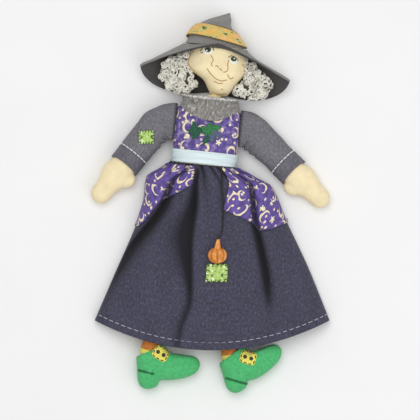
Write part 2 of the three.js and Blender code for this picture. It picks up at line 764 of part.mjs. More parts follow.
const skirtRows = [0, 0.04, 0.1, 0.18, 0.27, 0.37, 0.48, 0.6, 0.73, 0.87, 1];
const frontColumns = steps(0, Math.PI, 36);
const skirtAngles = [...frontColumns, ...steps(Math.PI, 2 * Math.PI, 12).slice(1, -1)];

function addSkirt() {
  add(lower, "skirt", tube(skirt, skirtRows, -denim, 0, skirtAngles), navyDenim);
  const laid = (rows, tilt) => sheet(overSkirt(tilt), rows, frontColumns, gap, gap + cotton);
  const tall = 2 * skirtHipDepth;
  const hipRows = skirtRows.filter((row) => row < 0.5);
  const panel = (edge) => {
    const [seamX, seamY] = edge.at(-1);
    const past = seamX + Math.sign(seamX) * skirtHipWidth;
    return prism([...edge, [past, seamY], [past, edge[0][1]]], tall);
  };
  add(lower, "right_hip_panel", within(laid(hipRows, -panelTilt), panel(rightPanelEdge)), printedCotton);
  add(lower, "left_hip_panel", within(laid(hipRows, panelTilt), panel(leftPanelEdge)), printedCotton);
  const [x, y] = [skirtPatchAcross, -skirtPatchDrop];
  const [w, h] = [skirtPatchWidth / 2, skirtPatchHeight / 2];
  const square = prism([[x - w, y - h], [x + w, y - h], [x + w, y + h], [x - w, y + h]], tall);
  add(lower, "skirt_patch", within(laid(skirtRows, 0), square), limeCotton);
}

// Charm: a ribbed pumpkin with a stem, hung from the waist by a cord
function addCharm() {
  const route = new THREE.CatmullRomCurve3(cordRoute.map((p) => point(...p)));
  const radius = cordDiameter / 2;
  const section = new THREE.Shape(
    around(8).map((angle) => new THREE.Vector2(radius * Math.cos(angle), radius * Math.sin(angle))),
  );
  const cord = new THREE.ExtrudeGeometry(section, { extrudePath: route, steps: 22, bevelEnabled: false });
  add(lower, "charm_cord", cord, blackCord);
  const [stemX, stemY, stemZ] = cordRoute.at(-1);
  const top = stemY - gap;
  const middle = top - stemLength - charmHeight / 2;
  const pumpkin = (latitude, angle, lift) => {
    const rib = charmRibDepth * Math.abs(Math.sin((charmRibs * angle) / 2)) * Math.sin(latitude);
    const out = Math.sin(latitude);
    return point(
      stemX + (charmWidth / 2 - charmRibDepth + rib + lift) * out * Math.cos(angle),
      middle - (charmHeight / 2) * Math.cos(latitude),
      stemZ + (charmThickness / 2 - charmRibDepth + rib + lift) * out * Math.sin(angle),
    );
  };
  const flesh = stuffing(pumpkin, steps(0.12, Math.PI - 0.12, 6), 0, around(3 * charmRibs));
  const stem = new THREE.CylinderGeometry(cordDiameter * 0.8, stemWidth / 2, stemLength + 1.5, 8);
  stem.scale(1, 1, 0.8);
  stem.translate(stemX, top - (stemLength + 1.5) / 2, stemZ);
  add(lower, "pumpkin_charm", join(flesh, stem), pumpkinResin);
}

// Hips: the lower end of the stuffed body, square to the waist seam
function addHips() {
  const hips = (drop, angle, lift) => {
    const end = roundEnd(drop, hipsLength, hipsLength * 0.3);
    const wide = (hipsWidth / 2) * (0.75 + 0.25 * end) + lift;
    const deep = (hipsDepth / 2) * (0.35 + 0.65 * end) + lift;
    const x = wide * Math.cos(angle);
    const sway = x * Math.tan(lean) * (1 - drop / hipsLength);
    return point(x, -gap - drop - sway, hipsLevel + deep * Math.sin(angle));
  };
  add(lower, "hips", stuffing(hips, steps(0, hipsLength, 6), 0, around(20)), muslinSkin);
}

// A half space above or below the boot's slanted top edge, past it by half the gap.
function slantedHalf(ankle, turn, side) {
  const size = 2 * skirtLength;
  const half = new THREE.BoxGeometry(size, size, size);
  half.translate(0, (side * (size - gap)) / 2, 0);
  half.rotateZ(bootSlant + turn);
  half.translate(ankle[0], ankle[1], 0);
  return half;
}

// Leg: a stocking with a round top that turns under the hips, cut off at the boot's top edge
function addLeg(name) {
  const round = thighWidth / 2;
  const pivot = new THREE.Vector2(legSpread[name], -hipsLength - 2 * gap - round);
  const ankle = new THREE.Vector2(...ankles[name]);
  const towards = ankle.clone().sub(pivot).normalize();
  const length = pivot.distanceTo(ankle) + thighWidth; // runs on past the boot's top edge before it is cut
  const level = denim + gap + round;
  const leg = (along, angle, lift) => {
    const full = THREE.MathUtils.lerp(round, ankleWidth / 2, Math.max(0, along) / length);
    const radius = full * roundEnd(-along, round, round) + lift;
    const across = radius * Math.cos(angle);
    return point(
      pivot.x + towards.x * along - towards.y * across,
      pivot.y + towards.y * along + towards.x * across,
      level + radius * Math.sin(angle),
    );
  };
  const below = slantedHalf(ankles[name], bootTurn[name], -1);
  const dome = [0, 0.35, 0.65, 0.85, 0.95].map((share) => -share * round);
  const rows = [...steps(length, 0, 3).slice(0, -1), ...dome];
  const fillRows = rows.slice(0, -2);
  const sides = around(14);
  add(lower, `${name}_leg`, cut(bag(leg, rows, muslin, sides), below), stripedStocking);
  const fill = stuffing(leg, fillRows, -muslin - gap, sides);
  add(lower, `${name}_leg_stuffing`, cut(fill, below), polyesterFill);
}

// Boot: a stuffed felt pillow over its outline, cut off square to the ankle's slant
function bootShape(name, lift) {
  const bent = bootOutline.map(([x, y]) =>
    point(x, y + toeLift[name] * THREE.MathUtils.smoothstep(x, toeStart, toeEnd), 0),
  );
  const closed = new THREE.CatmullRomCurve3(bent, true, "centripetal");
  const outline = closed.getSpacedPoints(40).slice(0, -1);
  const heart = point(...bootHeart, 0);
  const fullness = [0, 30, 55, 75, 90, 105, 125, 150, 180].map((d) => THREE.MathUtils.degToRad(d));
  const rings = fullness.slice(1, -1).map((turn) =>
    outline.map((edge) => {
      const spread = edge.clone().sub(heart);
      const share = Math.sin(turn) ** 0.6;
      return spread
        .multiplyScalar(share)
        .addScaledVector(edge.clone().sub(heart).normalize(), lift * share)
        .add(heart)
        .setZ((bootThickness / 2 + lift) * Math.cos(turn));
    }),
  );
  return capped(rings);
}

function addBoot(name) {
  const ankle = ankles[name];
  const seat = (geometry) => geometry.rotateZ(bootTurn[name]).translate(...ankle, bootLevel);
  const above = slantedHalf(ankle, bootTurn[name], 1);
  add(lower, `${name}_boot`, cut(seat(bootShape(name, 0)), above), greenFelt);
  const frame = new THREE.Shape([
    new THREE.Vector2(-buckleWidth / 2, -buckleHeight / 2),
    new THREE.Vector2(buckleWidth / 2, -buckleHeight / 2),
    new THREE.Vector2(buckleWidth / 2, buckleHeight / 2),
    new THREE.Vector2(-buckleWidth / 2, buckleHeight / 2),
  ]);
  for (const side of [-1, 1])
    frame.holes.push(new THREE.Path().absarc((side * buckleWidth) / 5, 0, buckleHole, 0, 2 * Math.PI, true));
  const extrusion = { depth: bootThickness, bevelEnabled: false, curveSegments: 4 };
  const plate = new THREE.ExtrudeGeometry(frame, extrusion);
  plate.rotateZ(buckleTilt).translate(...bucklePlace[name], 0);
  const laid = within(seat(plate), seat(bootShape(name, gap + buckleThickness)));
  add(lower, `${name}_buckle`, cut(laid, seat(bootShape(name, gap)), above), yellowFelt);
}

addTorso();
addBodice();
addCowl();
addSprig();
addArm("right_arm", -1, rightArmHang);
addArm("left_arm", 1, leftArmHang);
addSleevePatch();
addHead();
addNeck();
addHair("hair_right", -1, rightLocks);
addHair("hair_left", 1, leftLocks);
addCrown();
addBrim();
addHips();
addSkirt();
addCharm();
for (const name of ["right", "left"]) {
  addLeg(name);
  addBoot(name);
}

// The origin is on the table under the middle of the doll.
const extent = new THREE.Box3().setFromObject(doll, true);
const middle = extent.getCenter(point(0, 0, 0));
doll.position.set(-middle.x, -middle.y, -extent.min.z);

const part = new THREE.Group();
part.add(doll);
export default part;
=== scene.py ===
"""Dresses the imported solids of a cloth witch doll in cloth, felt, yarn and thread, and sets its stage.

The doll lies on its back. Shapes are worked out in millimetres, in the frame of the part's source, and placed
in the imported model's frame in metres. Left and right are the doll's own.
"""

import json
import math

import bmesh
import bpy
import numpy as np
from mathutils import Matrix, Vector, noise


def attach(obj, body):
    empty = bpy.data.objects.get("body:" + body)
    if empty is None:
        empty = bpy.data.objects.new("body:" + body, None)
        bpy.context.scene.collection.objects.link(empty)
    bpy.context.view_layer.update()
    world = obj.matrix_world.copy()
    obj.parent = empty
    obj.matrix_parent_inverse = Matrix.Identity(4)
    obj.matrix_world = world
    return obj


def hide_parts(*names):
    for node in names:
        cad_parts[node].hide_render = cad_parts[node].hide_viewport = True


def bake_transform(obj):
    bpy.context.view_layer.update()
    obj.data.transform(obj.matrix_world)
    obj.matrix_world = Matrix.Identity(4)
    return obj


bl_info = {
    "name": "Cloth Witch Doll",
    "version": (1, 0, 0),
    "blender": (4, 5, 0),
    "location": "View3D > Sidebar > Doll",
    "description": "Dresses a packed cloth witch doll and its stage",
    "category": "Object",
}

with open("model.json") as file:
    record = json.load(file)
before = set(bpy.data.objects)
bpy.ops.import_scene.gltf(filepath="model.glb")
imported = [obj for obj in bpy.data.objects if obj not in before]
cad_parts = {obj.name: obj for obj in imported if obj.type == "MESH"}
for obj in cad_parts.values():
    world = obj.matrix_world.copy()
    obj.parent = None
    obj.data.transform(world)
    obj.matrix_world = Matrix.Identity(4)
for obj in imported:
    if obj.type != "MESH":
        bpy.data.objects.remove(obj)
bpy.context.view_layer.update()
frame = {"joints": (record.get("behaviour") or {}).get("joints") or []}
MM = 0.001

# The camera stands far off over the table, as for a catalogue picture
VIEW_CENTRE = (4.88, -33.68, 0.0)
VIEW_HEIGHT = 4000.0

# Lights: place in metres, size across in metres and power in watts. The sky fills the shadows
KEY_LIGHT = ((-0.1, 0.25, 1.15), 0.9, 6.2)
FILL_LIGHT = ((0.5, -0.5, 0.9), 1.1, 2.9)
SKY_STRENGTH = 0.48
TABLE_HALF = 2.5
TABLE_DROP = 0.0003

# Cloth thickness and fit
GAP = 0.3
TABLE_GAP = 0.4
COTTON = 1.0
DENIM = 1.2
RIBBON = 0.8
BRIM = 1.6
PATCH = 0.8
KNIT = 1.6
LEAF = 0.7

# Stuffing: the steps of its swell and the scale they are worked out at, then for each skin its push and the
# farthest that a point may move
STUFFING_STEPS = 14
STUFFING_SCALE = 10.0
HAND_STUFFING = (3.0, 0.8)
HEAD_STUFFING = (1.0, 0.25)
BOOT_STUFFING = (1.6, 0.5)

# Stitches by length and pitch, and their threads by radius
CUFF_STITCH = (3.0, 3.7)
CUFF_THREAD = 0.42
BUCKLE_STITCH = (2.2, 3.6)
BUCKLE_THREAD = 0.35
SLEEVE_TACK_THREAD = 0.33
SKIRT_TACK_THREAD = 0.36
SEAM_THREAD = 1.0

# Where tubes of cloth have their seam, as an angle, and which way along X the doll's sides are
BEHIND = -math.pi / 2
SIDES = {"right": -1, "left": 1}

# The waist seam is the origin of the shapes, and the upper body leans from there
JOINTS = {joint["name"]: joint for joint in frame["joints"]}
WAIST = np.array([*JOINTS["waist_bend"]["pos_m"][:2], 0.0]) / MM
LEAN = math.atan2(JOINTS["waist_bend"]["axis"][1], -JOINTS["waist_bend"]["axis"][0])

# Torso and neckline
TORSO_LENGTH = 46.0
CHEST_WIDTH = 48.6
CHEST_DEPTH = 28.0
BODICE_LIFT = GAP + COTTON
BODY_LEVEL = CHEST_DEPTH / 2 + BODICE_LIFT + TABLE_GAP
SASH_WIDTH = 10.0
COWL_TOP = 5.0
COWL_DROP = 13.0
COWL_SIDE_DROP = 2.0
COWL_HALF_WIDTHS = (20.8, 19.4)
COWL_HALF_DEPTHS = (17.1, 14.9)
COWL_BACK = 14.5
# Share of the cowl's height above which its rim takes a painted highlight
COWL_RIM = 0.87
NECK_ASIDE = 2.6
NECK_HALF_WIDTH = 5.6
NECK_HALF_DEPTH = 6.0

# Arms, along their middle from the shoulder seam
ARM_SEAM = CHEST_WIDTH / 2 + BODICE_LIFT + GAP
ARM_BEND = 18.0
ARM_HEIGHT = 29.8
ARM_LENGTH = 86.0
ARM_FULL = 16.0
SLEEVE_LENGTH = 52.0
CUFF_DEPTH = 11.8
CUFF_BOW = 2.2
CUFF_BOW_START = 25.0
FINGER_WIDTH = 15.0
HAND_DEPTH = 12.0
HAND_VOXEL = 0.9
UPPER_ARM_DEPTH = 17.0
THUMB_ROOT = 6.5
THUMB_SPREAD = 0.25
THUMB_SIZE = (6.4, 4.9, 4.4)
SLEEVE_PATCH_PLACE = 24.5
SLEEVE_PATCH_SIZE = (11.0, 9.6)
SLEEVE_PATCH_TURN = 0.03
HANGS = {"right": math.radians(57), "left": math.radians(38.5)}

# Head, up from the chin
HEAD_PLACE = np.array([2.5, TORSO_LENGTH + 6.0, 0.0])
HEAD_HEIGHT = 44.0
HEAD_DEPTH = 26.0
HEAD_LEVEL = TABLE_GAP + BRIM + 1.6 + HEAD_DEPTH / 2
HAIR_DEPTH = 16.0

# Loops of yarn: how many for a lock's radius squared, then the least and most turns and radius of one
LOOPS_PER_AREA = 0.8
LOOP_TURNS = (1.05, 1.4)
LOOP_RADII = (1.5, 2.4)
LOOP_INSET = 1.1
# How far the dark bodies of painted shadow sit inside the locks
SHADOW_BODY_INSET = 1.4

# Hat
HAT_LINE = 37.0
HAT_SHIFT = 3.0
CROWN_HEIGHT = 25.6
CROWN_MID_WIDTH = 28.6
CROWN_TIP_WIDTH = 6.4
CROWN_LAY_BACK = 8.5
CROWN_CURL = 8.0
BAND_HEIGHT = 8.4
SELVEDGE = 0.7
BAND_RISE = 5.3
BAND_TILT = 4.5
BRIM_SPAN = 112.0
BRIM_SHIFT = 1.0
BRIM_DROOP = 20.5
BRIM_BOW = 1.18
BRIM_LEAN = 0.08
BRIM_SAG = 0.25
BRIM_BACK_DROOP = 34.0
BRIM_FRONT_REACH = 4.0
BRIM_TURN = 1.2

# Skirt, down from the waist seam
SKIRT_LENGTH = 138.0
SKIRT_WAIST_WIDTH = 50.0
SKIRT_HIP_WIDTH = 103.0
SKIRT_HEM_WIDTH = 176.0
SKIRT_HIP_DEPTH = 31.0
SKIRT_HEM_DEPTH = 24.6
SKIRT_WAIST_DEPTH = 25.0
HEM_BOW = 22.0
HEM_DRIFT = 6.5
HEM_DEPTH = 5.6
FOLD_DEPTH = 9.0
SKIRT_BEND = ((0.0, 1.0, 20.0), (0.0, -16.0, 20.0))
HIPS_LEVEL = 14.0
SKIRT_PATCH_MIDDLE = (10.0, -80.6)
SKIRT_PATCH_SIZE = (15.8, 12.8)

# Charm and its cord: the cord's middle line, from the waist to the stem
CORD_DIAMETER = 1.2
CORD_ROUTE = [
    (13.6, -1.6, 27.6), (13.7, -5, 28.8), (13.8, -8, 29.9), (13.9, -12, 31.3), (14, -16, 32.1), (14, -20, 32),
    (14.1, -24, 31.7), (14.2, -28, 31.5), (14.3, -32, 31.4), (14.4, -36, 30.8), (14.4, -40, 30.2),
    (14.4, -44, 29.8), (14.1, -47.5, 29.5), (13.3, -50.5, 29.5), (12, -53, 29.8), (10.4, -55, 30.2),
]
CHARM_WIDTH = 14.6
CHARM_HEIGHT = 12.2
CHARM_THICKNESS = 7.0
CHARM_RIBS = 8
STEM_LENGTH = 6.0
STEM_WIDTH = 4.6
RIB_DEPTH = 0.75

# Legs and boots
HIPS_LENGTH = 26.0
HIPS_WIDTH = 40.0
HIPS_DEPTH = 19.0
LEG_TOPS = {"right": -7.9, "left": 9.4}
ANKLES = {"right": (-40.2, -SKIRT_LENGTH - 1), "left": (20.6, -SKIRT_LENGTH - 4)}
THIGH_WIDTH = 15.6
ANKLE_WIDTH = 14.0
STRIPE_PITCH = 11.0
STRIPE_WIDTH = 3.6
BOOT_THICKNESS = 17.0
BOOT_LEVEL = BOOT_THICKNESS / 2 + TABLE_GAP
BOOT_TURNS = {"right": 0.0, "left": math.radians(13)}
BOOT_SLANT = math.radians(24)
BOOT_HEART = np.array([0.0, -9.0])
BOOT_OUTLINE = [
    (-8.8, 10), (8.6, 12), (13.5, 0), (25, -2.8), (34, -4.6), (37.6, -10), (34.3, -16.6), (26, -20.4),
    (16, -22), (8, -22.2), (5, -26.7), (-2.4, -28.7), (-8, -25), (-9.4, -15),
]
TOE_BEND = (10.0, 38.0)
TOE_LIFTS = {"right": 0.0, "left": 5.0}
HEEL_SEAMS = {"right": ((-8.6, -14.4), (3.4, -17.2)), "left": ((-7.8, -15.8), (6.8, -24.0))}
BUCKLE_SIZE = (12.0, 10.0)
BUCKLE_PLACES = {"right": (8.4, -1.8), "left": (12.0, -4.7)}
BUCKLE_TILT = math.radians(-30)
BUCKLE_HOLE = 1.5


def linear(hex_colour):
    """sRGB hex to linear RGBA."""
    channels = [int(hex_colour[i:i + 2], 16) / 255 for i in (1, 3, 5)]
    return (*[c / 12.92 if c <= 0.04045 else ((c + 0.055) / 1.055) ** 2.4 for c in channels], 1.0)


def colour_property(name, hex_colour, description):
    return bpy.props.FloatVectorProperty(
        name=name, description=description, subtype="COLOR", size=4, min=0, max=1, default=linear(hex_colour)
    )


def length_property(name, millimetres, description):
    return bpy.props.FloatProperty(
        name=name, description=description, unit="LENGTH", subtype="DISTANCE", precision=5,
        default=millimetres * MM,
    )


class DollColours(bpy.types.PropertyGroup):
    """Dyes of the doll's cloths."""

    muslin: colour_property("Muslin", "#f7e6bb", "Skin of face and hands")
    print_ground: colour_property("Print ground", "#65539a", "Ground of the printed cotton")
    print_motif: colour_property("Print motif", "#f4e8c4", "Moons and stars of the printed cotton")
    sleeve_denim: colour_property("Sleeve denim", "#747277", "Soft grey denim of the sleeves")
    skirt_denim: colour_property("Skirt denim", "#424150", "Dark denim of the skirt")
    hat: colour_property("Hat", "#8d8b87", "Chambray of the hat")
    # Painted shade: a dark colour for the brim's under side, standing in for the shade under it
    lining: colour_property("Hat lining", "#4b4947", "Lining under the brim")
    band: colour_property("Hat band", "#e2b95e", "Gold ribbon round the crown")
    sash: colour_property("Sash", "#dcebee", "Satin ribbon at the waist")
    knit: colour_property("Cowl", "#928f8b", "Rib knit of the cowl")
    yarn: colour_property("Hair", "#f8f5ea", "Curled yarn")
    boot: colour_property("Boot", "#4fb872", "Felt of the boots")
    leaf: colour_property("Leaf", "#3a7f4c", "Felt leaves")
    patch: colour_property("Patch", "#b4d375", "Cotton of the patches")
    stocking: colour_property("Stocking", "#d07f35", "Stocking ground")
    buckle: colour_property("Buckle", "#ece26a", "Felt buckles and stocking stripes")
    pumpkin: colour_property("Pumpkin", "#e28b2e", "Painted charm")


class DollSizes(bpy.types.PropertyGroup):
    """Sizes of what is sewn on."""

    stitch: length_property("Stitch", 3.3, "Length of a running stitch")
    stitch_pitch: length_property("Stitch pitch", 5.2, "From one running stitch to the next")
    thread: length_property("Thread", 0.6, "Thickness of the sewing thread")
    yarn: length_property("Yarn", 1.15, "Thickness of the hair yarn")
    motif: length_property("Motif", 11.5, "Spacing of the printed moons")
    twill: length_property("Twill", 1.3, "Spacing of the denim's twill lines")
    ribs: bpy.props.IntProperty(name="Cowl ribs", description="Ribs round the cowl", default=26, min=8)
    view_width: length_property("View width", 315, "Width of table that the camera takes in")


def smooth(value, low, high):
    share = np.clip((value - low) / (high - low), 0, 1)
    return share * share * (3 - 2 * share)


def profile(*stations):
    """A smooth curve through stations of (place, value), with no overshoot between them."""
    at = np.array([station[0] for station in stations], float)
    value = np.array([station[1] for station in stations], float)
    step = np.diff(at)
    secant = np.diff(value) / step
    slope = np.empty_like(value)
    slope[0] = secant[0]
    slope[-1] = secant[-1]
    product = secant[:-1] * secant[1:]
    total = np.where(product > 0, secant[:-1] + secant[1:], 1)
    slope[1:-1] = np.where(product > 0, 2 * product / total, 0)

    def curve(place):
        x = np.clip(place, at[0], at[-1])
        i = np.clip(np.searchsorted(at, x, side="right") - 1, 0, len(step) - 1)
        u = (x - at[i]) / step[i]
        start = (1 + 2 * u) * (1 - u) ** 2 * value[i] + u * (1 - u) ** 2 * step[i] * slope[i]
        return start + u * u * (3 - 2 * u) * value[i + 1] + u * u * (u - 1) * step[i] * slope[i + 1]

    return curve


def ripple(points, size, seed):
    """Smooth noise from -1 to 1 at each point, with lumps of about the given size."""
    flat = np.asarray(points, float).reshape(-1, 3) / size
    values = [noise.noise(Vector((x + seed, y, z))) for x, y, z in flat]
    return np.array(values).reshape(np.asarray(points).shape[:-1])


def lower(points):
    """From the skirt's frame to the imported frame, in millimetres."""
    return np.asarray(points, float) + WAIST


def upper(points):
    """From the leaning upper body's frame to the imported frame, in millimetres."""
    p = np.asarray(points, float)
    return np.stack([*rotated(p[..., 0], p[..., 1], -LEAN), p[..., 2]], -1) + WAIST


def in_head(points):
    """From the head's frame, with its origin at the chin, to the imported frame, in millimetres."""
    return upper(np.asarray(points, float) + HEAD_PLACE)


def stacked(x, y, z):
    return np.stack(np.broadcast_arrays(x, y, z), -1).astype(float)


def rotated(x, y, angle):
    return x * math.cos(angle) - y * math.sin(angle), x * math.sin(angle) + y * math.cos(angle)


def around(count, start=0.0):
    """Angles of points spaced evenly round a ring, as a row."""
    return np.linspace(start, start + 2 * math.pi, count, endpoint=False)[None]


def bell(off, width):
    """A smooth bump, 1 at its middle and nearly 0 at twice its width."""
    return np.exp(-((off / width) ** 2))


def round_ended(straight, radius, span=(0.15, 1.5)):
    """Rows along a straight run and on over a round end, as a column."""
    return np.concatenate([straight, straight[-1] + radius * np.sin(np.linspace(*span, 9))])[:, None]


def laid_on(height, flat, lift):
    """Points of a flat figure, lifted off the height under them."""
    x = flat[..., 0]
    y = flat[..., 1]
    return stacked(x, y, height(x, y) + lift)


def lengths(path):
    """How far along a line each of its points is."""
    return np.concatenate([[0], np.cumsum(np.linalg.norm(np.diff(path, axis=0), axis=1))])


def quads(rows, columns, closed):
    """Corner indices of a lattice's faces, and the same in a lattice whose closing column is doubled."""
    wide = columns + 1 if closed else columns
    i, j = np.mgrid[0:rows - 1, 0:wide - 1]
    right = (j + 1) % columns
    corners = [i * columns + j, i * columns + right, (i + 1) * columns + right, (i + 1) * columns + j]
    places = [i * wide + j, i * wide + j + 1, (i + 1) * wide + j + 1, (i + 1) * wide + j]
    return np.stack(corners, -1).reshape(-1, 4), np.stack(places, -1).reshape(-1, 4)


def unrolled(grid, closed):
    """Each point's place on the flat cloth, in metres, from lengths along and across the lattice."""
    full = np.concatenate([grid, grid[:, :1]], 1) if closed else grid
    across = np.zeros(full.shape[:2])
    across[:, 1:] = np.cumsum(np.linalg.norm(np.diff(full, axis=1), axis=2), axis=1)
    across -= across[:, full.shape[1] // 2][:, None]
    along = np.zeros(full.shape[:2])
    along[1:] = np.cumsum(np.linalg.norm(np.diff(full, axis=0), axis=2), axis=0)
    return np.stack([across, along], -1).reshape(-1, 2) * MM


def mesh_piece(name, points, faces, places, materials, marks=None):
    """A smooth mesh object from points in millimetres. marks give each face's material."""
    mesh = bpy.data.meshes.new(name)
    mesh.from_pydata((np.asarray(points) * MM).tolist(), [], [list(map(int, face)) for face in faces])
    layer = mesh.uv_layers.new(name="Cloth")
    spots = np.concatenate([np.asarray(place).reshape(-1) for place in places])
    layer.data.foreach_set("uv", spots.astype(np.float32))
    for material in materials:
        mesh.materials.append(material)
    if marks is not None:
        mesh.polygons.foreach_set("material_index", np.asarray(marks, np.int32))
    mesh.polygons.foreach_set("use_smooth", np.ones(len(mesh.polygons), bool))
    cleaner = bmesh.new()
    cleaner.from_mesh(mesh)
    bmesh.ops.recalc_face_normals(cleaner, faces=cleaner.faces)
    cleaner.to_mesh(mesh)
    cleaner.free()
    mesh.update()
    made = bpy.data.objects.new(name, mesh)
    bpy.context.scene.collection.objects.link(made)
    return made


def normals(grid, closed):
    """Unit normals of a lattice, out of a tube or up from a flat sheet."""
    if closed:
        padded = np.concatenate([grid[:, -1:], grid, grid[:, :1]], 1)
        across = (padded[:, 2:] - padded[:, :-2]) / 2
    else:
        across = np.gradient(grid, axis=1)
    normal = np.cross(np.gradient(grid, axis=0), across)
    normal /= np.maximum(np.linalg.norm(normal, axis=2, keepdims=True), 1e-9)
    middle = grid.mean(1, keepdims=True)
    sign = ((grid - middle) * normal).sum() if closed else normal[..., 2].sum()
    return normal if sign > 0 else -normal


def shell(name, grid, thickness, closed, materials, marks=None, inside=None):
    """Cloth between a lattice and one under it, at a thickness or given as inside, with closed edges.

    marks give each outer face's material, and the under side takes the last one.
    """
    rows, columns = grid.shape[:2]
    thick = np.broadcast_to(np.asarray(thickness, float), (rows, columns))[..., None]
    under = grid - normals(grid, closed) * thick if inside is None else inside
    points = np.concatenate([grid.reshape(-1, 3), under.reshape(-1, 3)])
    count = rows * columns
    outer, spots = quads(rows, columns, closed)
    flat = unrolled(grid, closed)
    faces = [*outer, *(outer[:, ::-1] + count)]
    places = [*flat[spots], *flat[spots[:, ::-1]]]
    wide = columns + 1 if closed else columns
    rims = []
    for row in (0, rows - 1):
        for j in range(wide - 1):
            a = row * columns + j
            b = row * columns + (j + 1) % columns
            rims.append(((a, b, b + count, a + count), (row * wide + j, row * wide + j + 1)))
    if not closed:
        for column in (0, columns - 1):
            for i in range(rows - 1):
                a = i * columns + column
                b = a + columns
                rims.append(((a, b, b + count, a + count), (a, b)))
    for corners, (p, q) in rims:
        faces.append(corners)
        places.append(flat[[p, q, q, p]])
    if marks is not None:
        inner = np.full(len(outer), len(materials) - 1)
        edge = np.zeros(len(rims), int)
        marks = np.concatenate([np.asarray(marks).reshape(-1), inner, edge])
    return mesh_piece(name, points, faces, places, materials, marks)


def loft(name, grid, materials, marks=None):
    """A closed body through rings, with both ends filled."""
    rows, columns = grid.shape[:2]
    faces, spots = quads(rows, columns, True)
    flat = unrolled(grid, True)
    points = [*grid.reshape(-1, 3), grid[0].mean(0), grid[-1].mean(0)]
    count = rows * columns
    faces = list(faces)
    places = list(flat[spots])
    for row, hub in ((0, count), (rows - 1, count + 1)):
        for j in range(columns):
            faces.append((row * columns + j, row * columns + (j + 1) % columns, hub))
            spot = flat[row * (columns + 1) + j]
            places.append(np.array([spot, spot, spot]))
    if marks is not None:
        marks = np.concatenate([np.asarray(marks).reshape(-1), np.zeros(2 * columns, int)])
    return mesh_piece(name, points, faces, places, materials, marks)


def tubes(name, paths, radius, sides, materials):
    """Round threads along paths, with filled ends, as one piece. Each path may have its own radius."""
    points = []
    faces = []
    places = []
    turn = around(sides)[0]
    for path, width in zip(paths, np.broadcast_to(radius, len(paths))):
        path = np.asarray(path, float)
        tangent = np.gradient(path, axis=0)
        tangent /= np.maximum(np.linalg.norm(tangent, axis=1, keepdims=True), 1e-9)
        aside = np.cross(tangent, [0.0, 0.0, 1.0])
        short = np.linalg.norm(aside, axis=1) < 0.2
        aside[short] = np.cross(tangent[short], [1.0, 0.0, 0.0])
        aside /= np.linalg.norm(aside, axis=1, keepdims=True)
        for i in range(1, len(aside)):
            if aside[i] @ aside[i - 1] < 0:
                aside[i] *= -1
        above = np.cross(aside, tangent)
        across = aside[:, None] * np.cos(turn)[:, None] + above[:, None] * np.sin(turn)[:, None]
        ring = path[:, None] + across * width
        base = len(points)
        points.extend(ring.reshape(-1, 3))
        flat = unrolled(ring, True)
        corners, spots = quads(len(path), sides, True)
        faces.extend(corners + base)
        places.extend(flat[spots])
        for row in (0, len(path) - 1):
            faces.append(base + row * sides + np.arange(sides))
            places.append(flat[row * (sides + 1) + np.arange(sides)])
    return mesh_piece(name, points, faces, places, materials)


def spline(points, count, closed=False):
    """A smooth line of evenly counted points through the given ones."""
    p = np.asarray(points, float)
    if closed:
        p = np.concatenate([p[-1:], p, p[:2]])
    else:
        p = np.concatenate([2 * p[:1] - p[1:2], p, 2 * p[-1:] - p[-2:-1]])
    spans = len(p) - 3
    t = np.linspace(0, spans, count, endpoint=not closed)
    i = np.minimum(t.astype(int), spans - 1)
    u = (t - i)[:, None]
    a, b, c, d = p[i], p[i + 1], p[i + 2], p[i + 3]
    return 0.5 * (2 * b + (c - a) * u + (2 * a - 5 * b + 4 * c - d) * u**2 + (3 * b - a - 3 * c + d) * u**3)


def applique(name, outline, height, thickness, materials, place, rings=5):
    """A flat piece over an outline, laid on a height with its edge rounded down."""
    edge = np.asarray(outline, float)
    heart = edge.mean(0)
    shares = np.sqrt(np.linspace(0.02, 1, rings))
    top = []
    for share in shares:
        rise = thickness * np.sqrt(np.maximum(0, 1 - (0.92 * share) ** 6))
        top.append(laid_on(height, heart + (edge - heart) * share, rise))
    base = laid_on(height, edge, -0.1)
    floor = laid_on(height, heart + (edge - heart) * shares[0], -0.1)
    return loft(name, place(np.array([*top, base, floor])), materials)


def stitches(path, length, pitch):
    """Short paths for a row of running stitches along a line, lifted in their middles."""
    path = np.asarray(path, float)
    run = lengths(path)
    made = []
    for start in np.arange(pitch * 0.3, run[-1] - length, pitch):
        at = np.linspace(start, start + length, 5)
        line = np.stack([np.interp(at, run, path[:, k]) for k in range(3)], -1)
        line[:, 2] += np.array([-0.35, 0.1, 0.2, 0.1, -0.35])
        made.append(line)
    return made


def tacks(grid, spacing, outside, lift):
    """Short stitches across a patch's edges, spaced by points of its lattice, and lifted in their middles."""
    rows, columns = grid.shape[:2]
    rim = [(i, j, step, 0) for i, step in ((0, 3), (rows - 1, -3)) for j in range(2, columns, spacing[0])]
    rim += [(i, j, 0, step) for j, step in ((0, 3), (columns - 1, -3)) for i in range(3, rows, spacing[1])]
    made = []
    for i, j, down, across in rim:
        inner = grid[i + down, j + across]
        line = np.linspace(grid[i, j] + (grid[i, j] - inner) * outside, inner, 5)
        line[:, 2] += np.array([-0.2, lift - 0.1, lift, lift - 0.1, -0.2])
        made.append(line)
    return made


def joined(made):
    """Joins pieces into the first of them."""
    with bpy.context.temp_override(active_object=made[0], selected_editable_objects=made):
        bpy.ops.object.join()
    return made[0]


